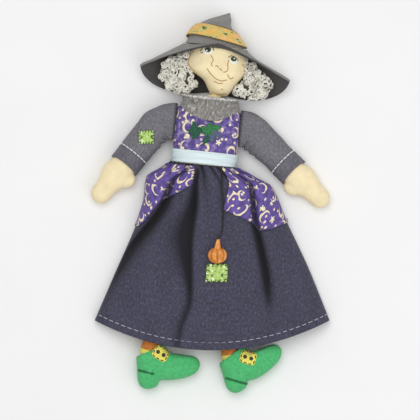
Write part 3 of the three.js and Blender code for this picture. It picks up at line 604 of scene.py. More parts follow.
def stuff(doll_piece, held, push, reach):
    """Swells a closed cloth skin with Blender's cloth, held at its seams, each point kept within a reach.

    The skin is simulated larger than it is, because the solver is made for metre-sized cloth.
    """
    scale = STUFFING_SCALE
    mesh = doll_piece.data
    rest = np.array([v.co for v in mesh.vertices], float)
    mesh.transform(((scale, 0, 0, 0), (0, scale, 0, 0), (0, 0, scale, 0), (0, 0, 0, 1)))
    group = doll_piece.vertex_groups.new(name="seams")
    group.add([int(i) for i in np.flatnonzero(held)], 1.0, "REPLACE")
    cloth = doll_piece.modifiers.new("stuffing", "CLOTH")
    settings = cloth.settings
    settings.quality = 6
    settings.mass = 0.15
    settings.tension_stiffness = 12
    settings.compression_stiffness = 12
    settings.shear_stiffness = 4
    settings.bending_stiffness = 0.3
    settings.use_pressure = True
    settings.uniform_pressure_force = push
    settings.vertex_group_mass = "seams"
    settings.effector_weights.gravity = 0
    scene = bpy.context.scene
    for step in range(1, STUFFING_STEPS + 1):
        scene.frame_set(step)
    shape = doll_piece.evaluated_get(bpy.context.evaluated_depsgraph_get()).to_mesh()
    swollen = np.array([v.co for v in shape.vertices], float) / scale
    doll_piece.modifiers.remove(cloth)
    doll_piece.vertex_groups.remove(group)
    scene.frame_set(1)
    moved = swollen - rest
    length = np.maximum(np.linalg.norm(moved, axis=1, keepdims=True), 1e-12)
    kept = rest + moved * np.minimum(1, reach * MM / length)
    mesh.vertices.foreach_set("co", kept.astype(np.float32).ravel())
    mesh.update()


def mark_painted_shade(doll_piece, depth):
    """Keeps, for the finish, how much shade is painted at each point of a piece, in its folds, grooves and
    seams. The under side takes the same.
    """
    layer = doll_piece.data.attributes.new("fold", "FLOAT", "POINT")
    values = np.resize(np.asarray(depth, np.float32), len(doll_piece.data.vertices))
    layer.data.foreach_set("value", values)


def settle_in(doll_piece, body, slot, *nodes):
    """Rides a piece on a body, in place of solids; the slot is not used."""
    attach(doll_piece, body)
    if nodes:
        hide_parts(*nodes)


def bend(doll_piece, bodies, slot, node, start, end):
    """Hides the solid that cloth stands in place of, and bakes the cloth's placing into its mesh. The bodies,
    slot and points are not used.
    """
    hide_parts(node)
    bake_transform(doll_piece)


# Materials


def add(tree, kind, inputs=(), **settings):
    """Adds a node with its settings. Inputs are values, sockets, or nodes whose first output is linked."""
    node = tree.nodes.new("ShaderNode" + kind)
    for key, value in settings.items():
        setattr(node, key, value)
    for key, value in dict(inputs).items():
        if isinstance(value, bpy.types.Node):
            value = value.outputs[0]
        if isinstance(value, bpy.types.NodeSocket):
            tree.links.new(value, node.inputs[key])
        else:
            node.inputs[key].default_value = value
    return node


def begun(name, unrolled_cloth=True):
    """A new material, its tree, and where a point is on the flat cloth or, for remeshed cloth, in space."""
    material = bpy.data.materials.new(name)
    material.use_nodes = True
    tree = material.node_tree
    tree.nodes.clear()
    return material, tree, add(tree, "TexCoord").outputs["UV" if unrolled_cloth else "Object"]


def finished(material, colour, height, depth, roughness, sheen=0.0, strength=0.5, ior=1.45):
    """Closes a material with its colour and with a relief whose depth is in millimetres."""
    tree = material.node_tree
    relief_bump = add(tree, "Bump", {"Height": height, "Distance": depth * MM, "Strength": strength})
    inputs = {
        "Base Color": colour, "Normal": relief_bump, "Roughness": roughness, "Sheen Weight": sheen,
        "IOR": ior,
    }
    shader = add(tree, "BsdfPrincipled", inputs)
    add(tree, "OutputMaterial", {"Surface": shader})
    return material


def tint(colour, factor):
    return tuple(min(1.0, channel * factor) for channel in colour[:3]) + (1.0,)


def shades(base, *factors):
    return [tint(base, factor) for factor in factors]


def wave_scale(length):
    """Scale at which a wave texture repeats over a length in metres."""
    return 1 / length * math.pi / 10


def speckle(tree, where, size, colours, stops):
    """Colour that wanders between stops over lumps of a size in millimetres (across, along)."""
    across, along = (1 / (length * MM) for length in size)
    stretched = add(tree, "Mapping", {"Vector": where, "Scale": (across, along, across)})
    lumps = add(tree, "TexNoise", {"Vector": stretched, "Scale": 1.0, "Detail": 3.0})
    ramp = add(tree, "ValToRGB", {"Fac": lumps.outputs["Fac"]})
    while len(ramp.color_ramp.elements) < len(stops):
        ramp.color_ramp.elements.new(0.5)
    for element, stop, colour in zip(ramp.color_ramp.elements, stops, colours):
        element.position = stop
        element.color = colour
    return ramp.outputs["Color"], lumps.outputs["Fac"]


def threads(tree, where, spacing, angle=0.0):
    """Height of crossed threads, spaced in millimetres and turned by an angle."""
    turned = add(tree, "Mapping", {"Vector": where, "Rotation": (0, 0, angle)})
    waves = {"Vector": turned, "Scale": wave_scale(spacing * MM)}
    warp = add(tree, "TexWave", waves, bands_direction="X")
    weft = add(tree, "TexWave", waves, bands_direction="Y")
    both = {0: warp.outputs["Fac"], 1: weft.outputs["Fac"]}
    return add(tree, "Math", both, operation="MAXIMUM")


def with_painted_shade(tree, colour, dark):
    """A colour with painted shade where a piece marks it, because soft light alone shows its folds, grooves
    and seams too weakly.
    """
    fold = add(tree, "Attribute", attribute_name="fold")
    inputs = {0: fold.outputs["Fac"], 6: colour, 7: dark}
    return add(tree, "Mix", inputs, data_type="RGBA").outputs[2]


def once(maker):
    """Makes each material only once, under its name."""
    made = {}

    def finish(name, *details):
        if name not in made:
            made[name] = maker(name, *details)
        return made[name]

    return finish


@once
def white_board(name):
    """Matt white display board: near white, with the faint cloud of a coated paper."""
    material, tree, where = begun(name, False)
    colour, clouds = speckle(tree, where, (60, 60), [linear("#f5f5f5"), linear("#f7f7f7")], [0.3, 0.7])
    return finished(material, colour, clouds, 0.05, 0.8, strength=0.1)


@once
def muslin(name, dyes):
    """Muslin: plain weave, matt, with slubs. Threads of 0.4 mm are drawn at 0.9 mm so that they show."""
    material, tree, where = begun(name, False)
    base = dyes.muslin
    colour, _ = speckle(tree, where, (5, 7), shades(base, 0.93, 1, 1.04), [0.3, 0.5, 0.72])
    return finished(material, colour, threads(tree, where, 0.9), 0.12, 0.92, 0.08, 0.4)


@once
def printed_cotton(name, dyes, faded, sizes):
    """Quilting cotton in plain weave, printed with moons and stars: crisp pale motifs on a mottled ground."""
    material, tree, where = begun(name)
    cells = add(tree, "VectorMath", {0: where, "Scale": 1 / sizes.motif}, operation="SCALE")
    spots = {"Vector": cells, "Scale": 1.0, "Randomness": 0.6}
    scatter = add(tree, "TexVoronoi", spots, voronoi_dimensions="2D")
    chance = add(tree, "SeparateColor", {"Color": scatter.outputs["Color"]})
    local = add(tree, "VectorMath", {0: cells, 1: scatter.outputs["Position"]}, operation="SUBTRACT")
    angle = add(tree, "Math", {0: chance.outputs[0], 1: 2 * math.pi}, operation="MULTIPLY")
    turned = add(tree, "VectorRotate", {"Vector": local, "Angle": angle}, rotation_type="Z_AXIS")
    disc = add(tree, "VectorMath", {0: turned}, operation="LENGTH").outputs["Value"]
    bitten = add(tree, "VectorMath", {0: turned, 1: (0.1, 0.02, 0)}, operation="SUBTRACT")
    bite = add(tree, "VectorMath", {0: bitten}, operation="LENGTH").outputs["Value"]
    full = add(tree, "Math", {0: disc, 1: 0.36}, operation="LESS_THAN")
    hollow = add(tree, "Math", {0: bite, 1: 0.295}, operation="GREATER_THAN")
    moon = add(tree, "Math", {0: full, 1: hollow}, operation="MULTIPLY")
    part = add(tree, "SeparateXYZ", {"Vector": turned})
    bearing = add(tree, "Math", {0: part.outputs[1], 1: part.outputs[0]}, operation="ARCTAN2")
    fifth = add(tree, "Math", {0: bearing, 1: 5.0}, operation="MULTIPLY")
    points = add(tree, "Math", {0: fifth}, operation="COSINE")
    reach = add(tree, "Math", {0: points, 1: 0.06, 2: 0.15}, operation="MULTIPLY_ADD")
    star = add(tree, "Math", {0: disc, 1: reach}, operation="LESS_THAN")
    choice = add(tree, "Math", {0: chance.outputs[1], 1: 0.62}, operation="LESS_THAN")
    motif = add(tree, "Mix", {0: choice, 2: star, 3: moon}, data_type="FLOAT")
    spots = {"Vector": cells, "Scale": 2.6, "Randomness": 0.9}
    dots = add(tree, "TexVoronoi", spots, voronoi_dimensions="2D")
    few = add(tree, "SeparateColor", {"Color": dots.outputs["Color"]})
    small = add(tree, "Math", {0: dots.outputs["Distance"], 1: 0.22}, operation="LESS_THAN")
    rare = add(tree, "Math", {0: few.outputs[2], 1: 0.34}, operation="LESS_THAN")
    dot = add(tree, "Math", {0: small, 1: rare}, operation="MULTIPLY")
    shown = add(tree, "Math", {0: motif, 1: dot}, operation="MAXIMUM")
    base = dyes.print_ground
    ground, _ = speckle(tree, where, (4, 4), [tint(base, 0.66), base, faded], [0.3, 0.5, 0.68])
    ink, _ = speckle(tree, where, (5, 5), [linear("#e6c4ae"), dyes.print_motif], [0.38, 0.48])
    printed = add(tree, "Mix", {0: shown, 6: ground, 7: ink}, data_type="RGBA")
    # Painted shade where a piece marks folds
    colour = with_painted_shade(tree, printed.outputs[2], tint(base, 0.12))
    return finished(material, colour, threads(tree, where, 0.8), 0.12, 0.88, 0.08, 0.4)


@once
def denim(name, base, blue, fleck, sizes):
    """Denim: warp-faced twill, its warp coloured with dye and its weft pale, flecked, with painted shade in
    its folds.

    Twill lines of 0.6 mm and their flecks are drawn about twice as coarse so that they show.
    """
    material, tree, where = begun(name)
    yarns = [tint(base, 0.62), base, blue, fleck]
    colour, lumps = speckle(tree, where, (1.5, 2.2), yarns, [0.32, 0.47, 0.56, 0.74])
    worn, _ = speckle(tree, where, (12, 24), shades(base, 0.78, 1.25), [0.35, 0.7])
    mixed = add(tree, "Mix", {0: 0.4, 6: colour, 7: worn}, data_type="RGBA")
    # Painted shade where a piece marks folds and seams
    dye_and_painted_shade = with_painted_shade(tree, mixed.outputs[2], tint(base, 0.16))
    turned = add(tree, "Mapping", {"Vector": where, "Rotation": (0, 0, math.radians(32))})
    twill = add(tree, "TexWave", {"Vector": turned, "Scale": wave_scale(sizes.twill), "Distortion": 0.6})
    height = add(tree, "Math", {0: twill.outputs["Fac"], 1: lumps}, operation="ADD")
    return finished(material, dye_and_painted_shade, height, 0.15, 0.9, 0.05)


@once
def chambray(name, base):
    """Chambray: plain weave of grey warp and pale weft, brushed, so matt with a soft mottle."""
    material, tree, where = begun(name)
    colour, _ = speckle(tree, where, (1.6, 1.6), shades(base, 0.78, 1, 1.22), [0.3, 0.5, 0.72])
    worn, _ = speckle(tree, where, (18, 10), shades(base, 0.82, 1.18), [0.35, 0.68])
    mixed = add(tree, "Mix", {0: 0.5, 6: colour, 7: worn}, data_type="RGBA")
    return finished(material, mixed.outputs[2], threads(tree, where, 1.0, math.radians(8)), 0.15, 0.93, 0.1)


@once
def gold_ribbon(name, dyes, height):
    """Woven ribbon with olive and apricot figures on gold, corded across, and dark selvedges."""
    material, tree, where = begun(name)
    base = dyes.band
    figures = [linear("#5d6a30"), linear("#cfd08a"), base, tint(base, 1.05), linear("#f2c08c")]
    colour, _ = speckle(tree, where, (7.5, 4.5), figures, [0.37, 0.42, 0.47, 0.55, 0.62])
    along = add(tree, "SeparateXYZ", {"Vector": where})
    off = add(tree, "Math", {0: along.outputs[1], 1: height * MM / 2}, operation="SUBTRACT")
    away = add(tree, "Math", {0: off}, operation="ABSOLUTE")
    inner = (height / 2 - SELVEDGE) * MM
    edge = add(tree, "Math", {0: away, 1: inner}, operation="GREATER_THAN")
    dye_and_painted_shade = add(tree, "Mix", {0: edge, 6: colour, 7: linear("#7a6433")}, data_type="RGBA")
    return finished(material, dye_and_painted_shade.outputs[2], threads(tree, where, 0.9), 0.2, 0.6, 0.05)


@once
def satin(name, dyes):
    """Satin ribbon: long floats along the ribbon, so a smooth face with a soft, streaked gloss."""
    material, tree, where = begun(name)
    base = dyes.sash
    colour, floats = speckle(tree, where, (26, 1.6), shades(base, 0.88, 1, 1.05), [0.32, 0.5, 0.66])
    return finished(material, colour, floats, 0.25, 0.36, 0.05, 0.35)


@once
def rib_knit(name, base):
    """Rib knit of marled grey yarn: fuzzy, with light and dark plies that run up the ribs."""
    material, tree, where = begun(name)
    marl = shades(base, 0.4, 0.85, 1, 1.9)
    colour, lumps = speckle(tree, where, (1.5, 4.2), marl, [0.32, 0.43, 0.54, 0.68])
    return finished(material, colour, lumps, 0.6, 0.95, 0.15, 0.7)


@once
def yarn(name, base):
    """Plied acrylic yarn: twisted strands with a halo of fibre."""
    material, tree, where = begun(name)
    turned = add(tree, "Mapping", {"Vector": where, "Rotation": (0, 0, math.radians(38))})
    ply = add(tree, "TexWave", {"Vector": turned, "Scale": wave_scale(1.1 * MM)})
    ramp = add(tree, "ValToRGB", {"Fac": ply.outputs["Fac"]})
    for element, factor in zip(ramp.color_ramp.elements, (0.86, 1.05)):
        element.color = tint(base, factor)
    return finished(material, ramp.outputs["Color"], ply.outputs["Fac"], 0.3, 0.9, 0.1)


@once
def felt(name, base, mottle=0.16, in_space=False):
    """Wool felt: matted fibre, no weave, a soft nap that scatters light at its edge."""
    material, tree, where = begun(name, not in_space)
    fibres = shades(base, 1 - mottle, 1, 1 + mottle)
    colour, lumps = speckle(tree, where, (2.2, 2.2), fibres, [0.36, 0.5, 0.64])
    return finished(material, colour, lumps, 0.35, 0.96, 0.15)


@once
def patch_cotton(name, dyes):
    """Lime quilting cotton with a pale and dark fleck."""
    material, tree, where = begun(name)
    base = dyes.patch
    flecks = [linear("#3f6a2c"), base, base, linear("#f6f9e2")]
    colour, _ = speckle(tree, where, (3.4, 3.4), flecks, [0.38, 0.43, 0.56, 0.63])
    return finished(material, colour, threads(tree, where, 0.9), 0.15, 0.9, 0.05)


@once
def striped_stocking(name, dyes):
    """Striped cotton jersey: bands across the leg, printed in a ground and a stripe colour."""
    material, tree, where = begun(name)
    split = add(tree, "SeparateXYZ", {"Vector": where})
    band = add(tree, "Math", {0: split.outputs[1], 1: STRIPE_PITCH * MM}, operation="MODULO")
    stripe = add(tree, "Math", {0: band, 1: STRIPE_WIDTH * MM}, operation="LESS_THAN")
    base = dyes.stocking
    ground, _ = speckle(tree, where, (3, 3), shades(base, 0.75, 1.15), [0.35, 0.65])
    colour = add(tree, "Mix", {0: stripe, 6: ground, 7: dyes.buckle}, data_type="RGBA")
    return finished(material, colour.outputs[2], threads(tree, where, 0.9), 0.15, 0.9, 0.1)


@once
def sewing_thread(name, hex_colour, roughness=0.7):
    """Cotton thread: two plies, with a slight lustre."""
    material, tree, where = begun(name)
    base = linear(hex_colour)
    colour, plies = speckle(tree, where, (0.6, 0.9), shades(base, 0.85, 1.05), [0.35, 0.65])
    return finished(material, colour, plies, 0.1, roughness, 0.05, 0.4)


@once
def painted_resin(name, dyes):
    """Cast resin, hand painted: even gloss, with painted shade in the grooves between the ribs."""
    material, tree, where = begun(name, False)
    base = dyes.pumpkin
    paints = [tint(base, 0.66), base, linear("#f2ab66")]
    colour, brushed = speckle(tree, where, (3.4, 3.4), paints, [0.3, 0.48, 0.7])
    painted = with_painted_shade(tree, colour, tint(base, 0.2))
    return finished(material, painted, brushed, 0.2, 0.45, 0.0, 0.3, 1.5)


# Shapes of the dressed doll, in millimetres

torso_half_width = profile((0, 21.5), (30, 24.3), (41, 22.5), (46, 8.2))
torso_half_depth = profile((0, 11), (30, 14), (41, 12), (46, 7.5))


def torso(height, angle, lift=0.0):
    x = (torso_half_width(height) + lift) * np.cos(angle)
    z = BODY_LEVEL + (torso_half_depth(height) + lift) * np.sin(angle)
    return stacked(x, height, z)


def chest_height(across, up):
    half = torso_half_width(up) + BODICE_LIFT
    rounded = np.sqrt(np.maximum(0, 1 - (across / half) ** 2))
    return BODY_LEVEL + (torso_half_depth(up) + BODICE_LIFT) * rounded


arm_half_width = profile((0, 12), (52, 9.8), (59, 11.5), (72, 8.1), (86, 7.5))
arm_half_depth = profile(
    (0, 5.6), (6, 7.4), (ARM_FULL, UPPER_ARM_DEPTH / 2), (52, 7.25), (ARM_LENGTH, HAND_DEPTH / 2)
)


def arm(side, hang, along, angle, lift=0.0):
    """The arm's skin: along its middle from the shoulder seam, and around it."""
    turn = np.clip(along / ARM_BEND, 0, hang)
    straight = np.maximum(0, along - ARM_BEND * hang)
    past = np.maximum(0, along - ARM_LENGTH + FINGER_WIDTH / 2) / (FINGER_WIDTH / 2)
    end = np.sqrt(np.maximum(0, 1 - past * past))
    wide = (arm_half_width(along) * end + lift) * np.cos(angle)
    deep = (arm_half_depth(along) * end + lift) * np.sin(angle)
    lying = arm_half_depth(along) + GAP + DENIM + TABLE_GAP
    level = BODY_LEVEL + (lying - BODY_LEVEL) * smooth(along, 0, ARM_FULL)
    start = np.minimum(along, 0)
    across = ARM_BEND * np.sin(turn) + straight * np.cos(hang) + wide * np.sin(turn) + start
    drop = ARM_BEND * (1 - np.cos(turn)) + straight * np.sin(hang) - wide * np.cos(turn)
    return stacked(side * (ARM_SEAM + across), ARM_HEIGHT - drop, level + deep)


head_half_width = profile(
    (0, 2), (1, 6), (3, 7.6), (11.3, 12.9), (15, 17.2), (19, 21.4), (24, 22.5), (37, 17.8), (44, 9)
)
head_half_depth = profile((0, 2), (1.6, 5.7), (7, 9.6), (19.2, 13), (37, 12.5), (44, 8.6))
head_aside = profile((0, 3.6), (10, 3.6), (21, -0.3), (44, 0))


# Swells of the nose, cheeks and chin: height, place across and up the face, and reach across and up
FACE_SWELLS = [(1.5, 2.2, 22.5, 4.2, 5.5), (0.9, -13, 21, 7, 7), (0.9, 15, 19, 6, 6), (0.9, 4, 5, 5, 4)]


def relief(x, y):
    """Sculpted swell of the nose, cheeks and chin over the face."""
    return sum(rise * bell(x - a, wide) * bell(y - b, high) for rise, a, b, wide, high in FACE_SWELLS)


def head(height, angle):
    x = head_aside(height) + head_half_width(height) * np.cos(angle)
    swell = relief(x, height) * np.maximum(0, np.sin(angle)) ** 0.5
    z = HEAD_LEVEL + head_half_depth(height) * np.sin(angle) + swell
    return stacked(x, height, z)


def face_height(x, y):
    share = np.clip((x - head_aside(y)) / head_half_width(y), -1, 1)
    level = HEAD_LEVEL + head_half_depth(y) * np.sqrt(1 - share * share)
    return level + relief(x, y) * (1 - share * share) ** 0.25


crown_half_width = profile(
    (0, 22.3), (0.28, CROWN_MID_WIDTH * 0.64), (0.5, CROWN_MID_WIDTH / 2), (0.77, CROWN_MID_WIDTH * 0.27),
    (0.92, CROWN_TIP_WIDTH / 2), (1, CROWN_TIP_WIDTH / 6),
)
crown_half_depth = profile(
    (0, 14.6), (0.5, CROWN_MID_WIDTH * 0.32), (0.92, CROWN_TIP_WIDTH * 0.35), (1, CROWN_TIP_WIDTH / 6)
)
crown_across = profile((0, -HAT_SHIFT), (0.5, -HAT_SHIFT - CROWN_CURL / 4), (1, CROWN_CURL - HAT_SHIFT))


def crown(share, angle, lift=0.0):
    deep = (crown_half_depth(share) + lift) * np.sin(angle)
    tipped = deep * (CROWN_LAY_BACK / CROWN_HEIGHT) * np.minimum(1, 3 * share)
    return stacked(
        crown_across(share) + (crown_half_width(share) + lift) * np.cos(angle),
        HAT_LINE + GAP + CROWN_HEIGHT * share + tipped,
        HEAD_LEVEL - CROWN_LAY_BACK * share**1.5 + deep,
    )


def brim(share, angle):
    """The brim's middle: arched over the brow, drooping at the sides, and on the table behind the head."""
    seam = crown(np.zeros_like(share), angle, GAP + BRIM / 2)
    seam[..., 1] -= BRIM_TURN
    cosine = np.cos(angle)
    back = np.maximum(0, -np.sin(angle))
    front = np.maximum(0, np.sin(angle))
    floor = HEAD_LEVEL - TABLE_GAP - BRIM / 2
    droop = BRIM_DROOP * np.abs(cosine) ** (BRIM_BOW - BRIM_LEAN * cosine) + BRIM_BACK_DROOP * back**1.3
    edge = stacked(
        -BRIM_SHIFT + BRIM_SPAN / 2 * cosine,
        HAT_LINE + GAP - droop + front,
        HEAD_LEVEL + (seam[..., 2] - HEAD_LEVEL + BRIM_FRONT_REACH) * front - floor * back,
    )
    middle = seam + (edge - seam) * share[..., None]
    dip = share ** (1 - BRIM_SAG * np.maximum(0, cosine))
    middle[..., 1] = seam[..., 1] + (edge[..., 1] - seam[..., 1]) * dip
    return middle


half_skirt = profile(
    (0, SKIRT_WAIST_WIDTH / 2), (0.04, SKIRT_WAIST_WIDTH * 0.68), (0.1, SKIRT_HIP_WIDTH * 0.445),
    (0.26, SKIRT_HIP_WIDTH / 2), (0.7, SKIRT_HEM_WIDTH * 0.418), (1, SKIRT_HEM_WIDTH / 2),
)
skirt_side = profile(
    (0, 0), (0.04, HEM_DRIFT * 0.35), (0.1, HEM_DRIFT * 0.62), (0.25, HEM_DRIFT), (0.5, HEM_DRIFT * 1.12),
    (1, HEM_DRIFT),
)
side_level = profile((0, HIPS_LEVEL), (0.1, HIPS_LEVEL * 0.64), (0.25, 3.4), (0.5, 2.6), (1, 2.6))
skirt_top = profile(
    (0, SKIRT_WAIST_DEPTH + 1.5), (0.1, SKIRT_HIP_DEPTH), (0.25, SKIRT_HIP_DEPTH),
    (0.5, (SKIRT_HIP_DEPTH + SKIRT_HEM_DEPTH) / 2), (1, SKIRT_HEM_DEPTH),
)
# Main folds, along the skirt: the line as a share of the half width, the depth, and how far the fold spreads
# to the doll's right and to its left
FOLDS = [
    (
        profile(
            (0.03, -0.42), (0.071, -0.527), (0.219, -0.7), (0.32, -0.795), (0.45, -0.91), (0.6, -0.985),
            (1, -1.1),
        ),
        profile((0, 1), (1, 1)),
        profile((0, 1.7), (1, 3.2)),
        profile((0, 2.2), (0.3, 4.5), (0.5, 5), (1, 4.4)),
    ),
    (
        profile(
            (0.03, -0.18), (0.085, -0.2), (0.17, -0.223), (0.41, -0.285), (0.74, -0.229), (0.89, -0.287),
            (1, -0.3),
        ),
        profile((0, 0.7), (0.25, 1), (0.5, 0.9), (0.75, 0.5), (1, 0.35)),
        profile((0, 2), (0.15, 4), (0.4, 12), (0.55, 8), (0.7, 3.5), (1, 3)),
        profile((0, 1.2), (1, 2)),
    ),
    (
        profile(
            (0.02, 0.6), (0.043, 0.68), (0.172, 0.61), (0.293, 0.575), (0.516, 0.565), (0.72, 0.545), (1, 0.5)
        ),
        profile((0, 1), (0.6, 0.95), (0.75, 0.5), (0.85, 0.1), (1, 0.05)),
        profile((0, 1.7), (1, 3)),
        profile((0, 2), (1, 4.6)),
    ),
    (
        profile((0.03, 0.08), (0.14, 0.1), (0.5, 0.02), (1, 0.06)),
        profile((0, 0.25), (1, 0.25)),
        profile((0, 5), (1, 11)),
        profile((0, 5), (1, 11)),
    ),
]


def folded(share, side):
    """How far each main fold is pressed in, from 0 to 1."""
    pressed = []
    for line, deep, to_right, to_left in FOLDS:
        off = half_skirt(share) * (side - line(share))
        reach = np.where(off < 0, to_right(share), to_left(share))
        pressed.append(deep(share) * np.exp(-((np.abs(off) / reach) ** 1.5)))
    return pressed


def broad_pleats(angle):
    """Pleats round the waist, from 0 in their grooves to 1."""
    return np.sqrt(np.abs(np.sin(angle * 11 + 0.9 * np.sin(angle * 5))))


def fold_shade(share, angle):
    """How much shade is painted into the cloth, from 0 to 1, in the three sharp folds and in the pleats at
    the waist.
    """
    main = np.maximum.reduce(folded(share, np.cos(angle))[:3]) * smooth(share, 0, 0.04)
    grooves = (1 - broad_pleats(angle)) * np.exp(-share / 0.1)
    return np.clip(1.7 * np.maximum(main, grooves), 0, 0.95) * smooth(np.sin(angle), 0, 0.25)


def gathers(share, angle):
    """Sharp small pleats that fan out from the waist."""
    fine = np.sqrt(np.abs(np.sin(angle * 24 + 1.6 * np.sin(angle * 9))))
    crisp = 0.9 * (fine - 0.6) * np.exp(-share / 0.05)
    return crisp + 2.2 * (broad_pleats(angle) - 0.6) * np.exp(-share / 0.14)


def skirt(share, angle):
    side = np.cos(angle)
    rise = np.sin(angle)
    x = skirt_side(share) + half_skirt(share) * side
    y = -GAP - share * (SKIRT_LENGTH - HEM_BOW * side * side) - x * math.tan(LEAN) * (1 - share) ** 3
    mid = side_level(share)
    back_level = 1.5 * (1 - smooth(share, 0, 0.1))
    back = mid - (mid - back_level) * np.minimum(1, np.maximum(0, -3 * rise))
    up = np.maximum(0, rise)
    settle = smooth(share, 0, 0.2) * (1 - 0.35 * share) * smooth(up, 0.05, 0.5)
    pressed = FOLD_DEPTH * sum(folded(share, side))
    dome = mid + (skirt_top(share) - mid) * up**0.8
    front = dome - pressed * settle + gathers(share, angle) * np.sqrt(up)
    return stacked(x, y, np.where(rise < 0, back, front))


def skirt_place(x, y):
    """Share and angle of the skirt's front over a place in its frame."""
    share = np.clip(-np.asarray(y, float) / SKIRT_LENGTH, 0.001, 1)
    for _ in range(12):
        side = np.clip((x - skirt_side(share)) / half_skirt(share), -1, 1)
        sway = x * math.tan(LEAN) * (1 - share) ** 3
        share = np.clip((-GAP - y - sway) / (SKIRT_LENGTH - HEM_BOW * side * side), 0.001, 1)
    return share, np.arccos(side)


def skirt_height(x, y):
    share, angle = skirt_place(x, y)
    return skirt(share, angle)[..., 2]


def boot_edge(name):
    """A boot's outline round its ankle, with the toe bent up."""
    edge = spline(BOOT_OUTLINE, 96, closed=True)
    edge[:, 1] += TOE_LIFTS[name] * smooth(edge[:, 0], *TOE_BEND)
    return edge


def boot_top(name):
    """A boot's height over its ankle's level, as a function of place."""
    edge = boot_edge(name) - BOOT_HEART
    bearing = np.arctan2(edge[:, 1], edge[:, 0])
    order = np.argsort(bearing)
    reach = np.hypot(edge[:, 0], edge[:, 1])

    def height(x, y):
        dx = x - BOOT_HEART[0]
        dy = y - BOOT_HEART[1]
        limit = np.interp(np.arctan2(dy, dx), bearing[order], reach[order], period=2 * math.pi)
        share = np.clip(np.hypot(dx, dy) / limit, 0, 1)
        return BOOT_THICKNESS / 2 * np.sqrt(1 - share ** (10 / 3))

    return height


# Operators


def colours(context):
    return context.scene.doll_colours


def sizes(context):
    return context.scene.doll_sizes


class DOLL_OT_stage(bpy.types.Operator):
    """Sets the camera over the doll, the table and its soft light"""

    bl_idname = "doll.stage"
    bl_label = "Stage"

    def execute(self, context):
        scene = context.scene
        centre = Vector(lower(VIEW_CENTRE) * MM)
        height = VIEW_HEIGHT * MM
        data = bpy.data.cameras.new("camera")
        data.sensor_width = 36
        data.lens = data.sensor_width * height / sizes(context).view_width
        camera = bpy.data.objects.new("camera", data)
        camera.location = centre + Vector((0, 0, height))
        scene.collection.objects.link(camera)
        scene.camera = camera
        scene.view_settings.view_transform = "Standard"
        self.table(scene)
        self.light(scene, "key", *KEY_LIGHT)
        self.light(scene, "fill", *FILL_LIGHT)
        world = bpy.data.worlds.new("studio")
        scene.world = world
        world.use_nodes = True
        sky = world.node_tree.nodes["Background"].inputs
        sky["Color"].default_value = (1, 1, 1, 1)
        sky["Strength"].default_value = SKY_STRENGTH
        return {"FINISHED"}

    def table(self, scene):
        corners = [(x * TABLE_HALF, y * TABLE_HALF, 0) for x, y in ((-1, -1), (1, -1), (1, 1), (-1, 1))]
        mesh = bpy.data.meshes.new("table")
        mesh.from_pydata(corners, [], [range(4)])
        mesh.materials.append(white_board("white_board"))
        table = bpy.data.objects.new("table", mesh)
        table.location.z = -TABLE_DROP
        scene.collection.objects.link(table)

    def light(self, scene, name, place, size, power):
        data = bpy.data.lights.new(name, "AREA")
        data.shape = "DISK"
        data.size = size
        data.energy = power
        lamp = bpy.data.objects.new(name, data)
        lamp.location = place
        lamp.rotation_euler = (-Vector(place)).to_track_quat("-Z", "Y").to_euler()
        scene.collection.objects.link(lamp)


class DOLL_OT_charm(bpy.types.Operator):
    """Hangs the pumpkin charm from the waist on its cord"""

    bl_idname = "doll.charm"
    bl_label = "Charm"

    def execute(self, context):
        dyes = colours(context)
        route = spline(CORD_ROUTE, 90)
        cord = tubes(
            "charm_cord_line", [lower(route)], CORD_DIAMETER / 2, 10,
            [sewing_thread("waxed_cord", "#1d1b1e", 0.5)],
        )
        settle_in(cord, "charm", "black_cord", "charm_cord")
        pumpkin = self.pumpkin(dyes)
        return {"FINISHED"}

    def pumpkin(self, dyes):
        stem_x, stem_y, stem_z = CORD_ROUTE[-1]
        top = stem_y - GAP
        middle = top - STEM_LENGTH - CHARM_HEIGHT / 2
        latitude = np.linspace(0.1, math.pi - 0.1, 26)[:, None]
        angle = around(96)
        groove = np.sin(CHARM_RIBS * angle / 2)
        rib = RIB_DEPTH * (np.sqrt(np.abs(groove)) * np.sin(latitude) - 1)
        out = np.sin(latitude) ** 0.85
        dimple = 0.7 * bell(latitude - math.pi, 0.4)
        flesh = stacked(
            stem_x + (CHARM_WIDTH / 2 + rib) * out * np.cos(angle),
            middle - CHARM_HEIGHT / 2 * np.cos(latitude) - dimple,
            stem_z + (CHARM_THICKNESS / 2 + rib) * out * np.sin(angle),
        )
        body = loft("pumpkin", lower(flesh), [painted_resin("pumpkin_resin", dyes)])
        # Painted shade in the grooves between the ribs
        mark_painted_shade(body, 0.75 * bell(groove, 0.4) * np.sin(latitude) ** 0.5)
        settle_in(body, "charm", "pumpkin_resin", "pumpkin_charm")
        along = np.linspace(0, 1, 14)[:, None]
        turn = around(32)
        flare = STEM_WIDTH / 2 * (1.25 - 0.75 * along**0.8) * (1 + 0.08 * np.cos(5 * turn))
        stem = stacked(
            stem_x + 0.7 * along**2 + flare * np.cos(turn),
            middle + CHARM_HEIGHT / 2 - 1.8 + (STEM_LENGTH + 1.6) * along,
            stem_z + 0.8 * flare * np.sin(turn),
        )
        handle = loft("pumpkin_stem", lower(stem), [painted_resin("pumpkin_resin", dyes)])
        settle_in(handle, "charm", "pumpkin_resin")
        handle.parent = body
        handle.matrix_parent_inverse = body.matrix_world.inverted()
        return body


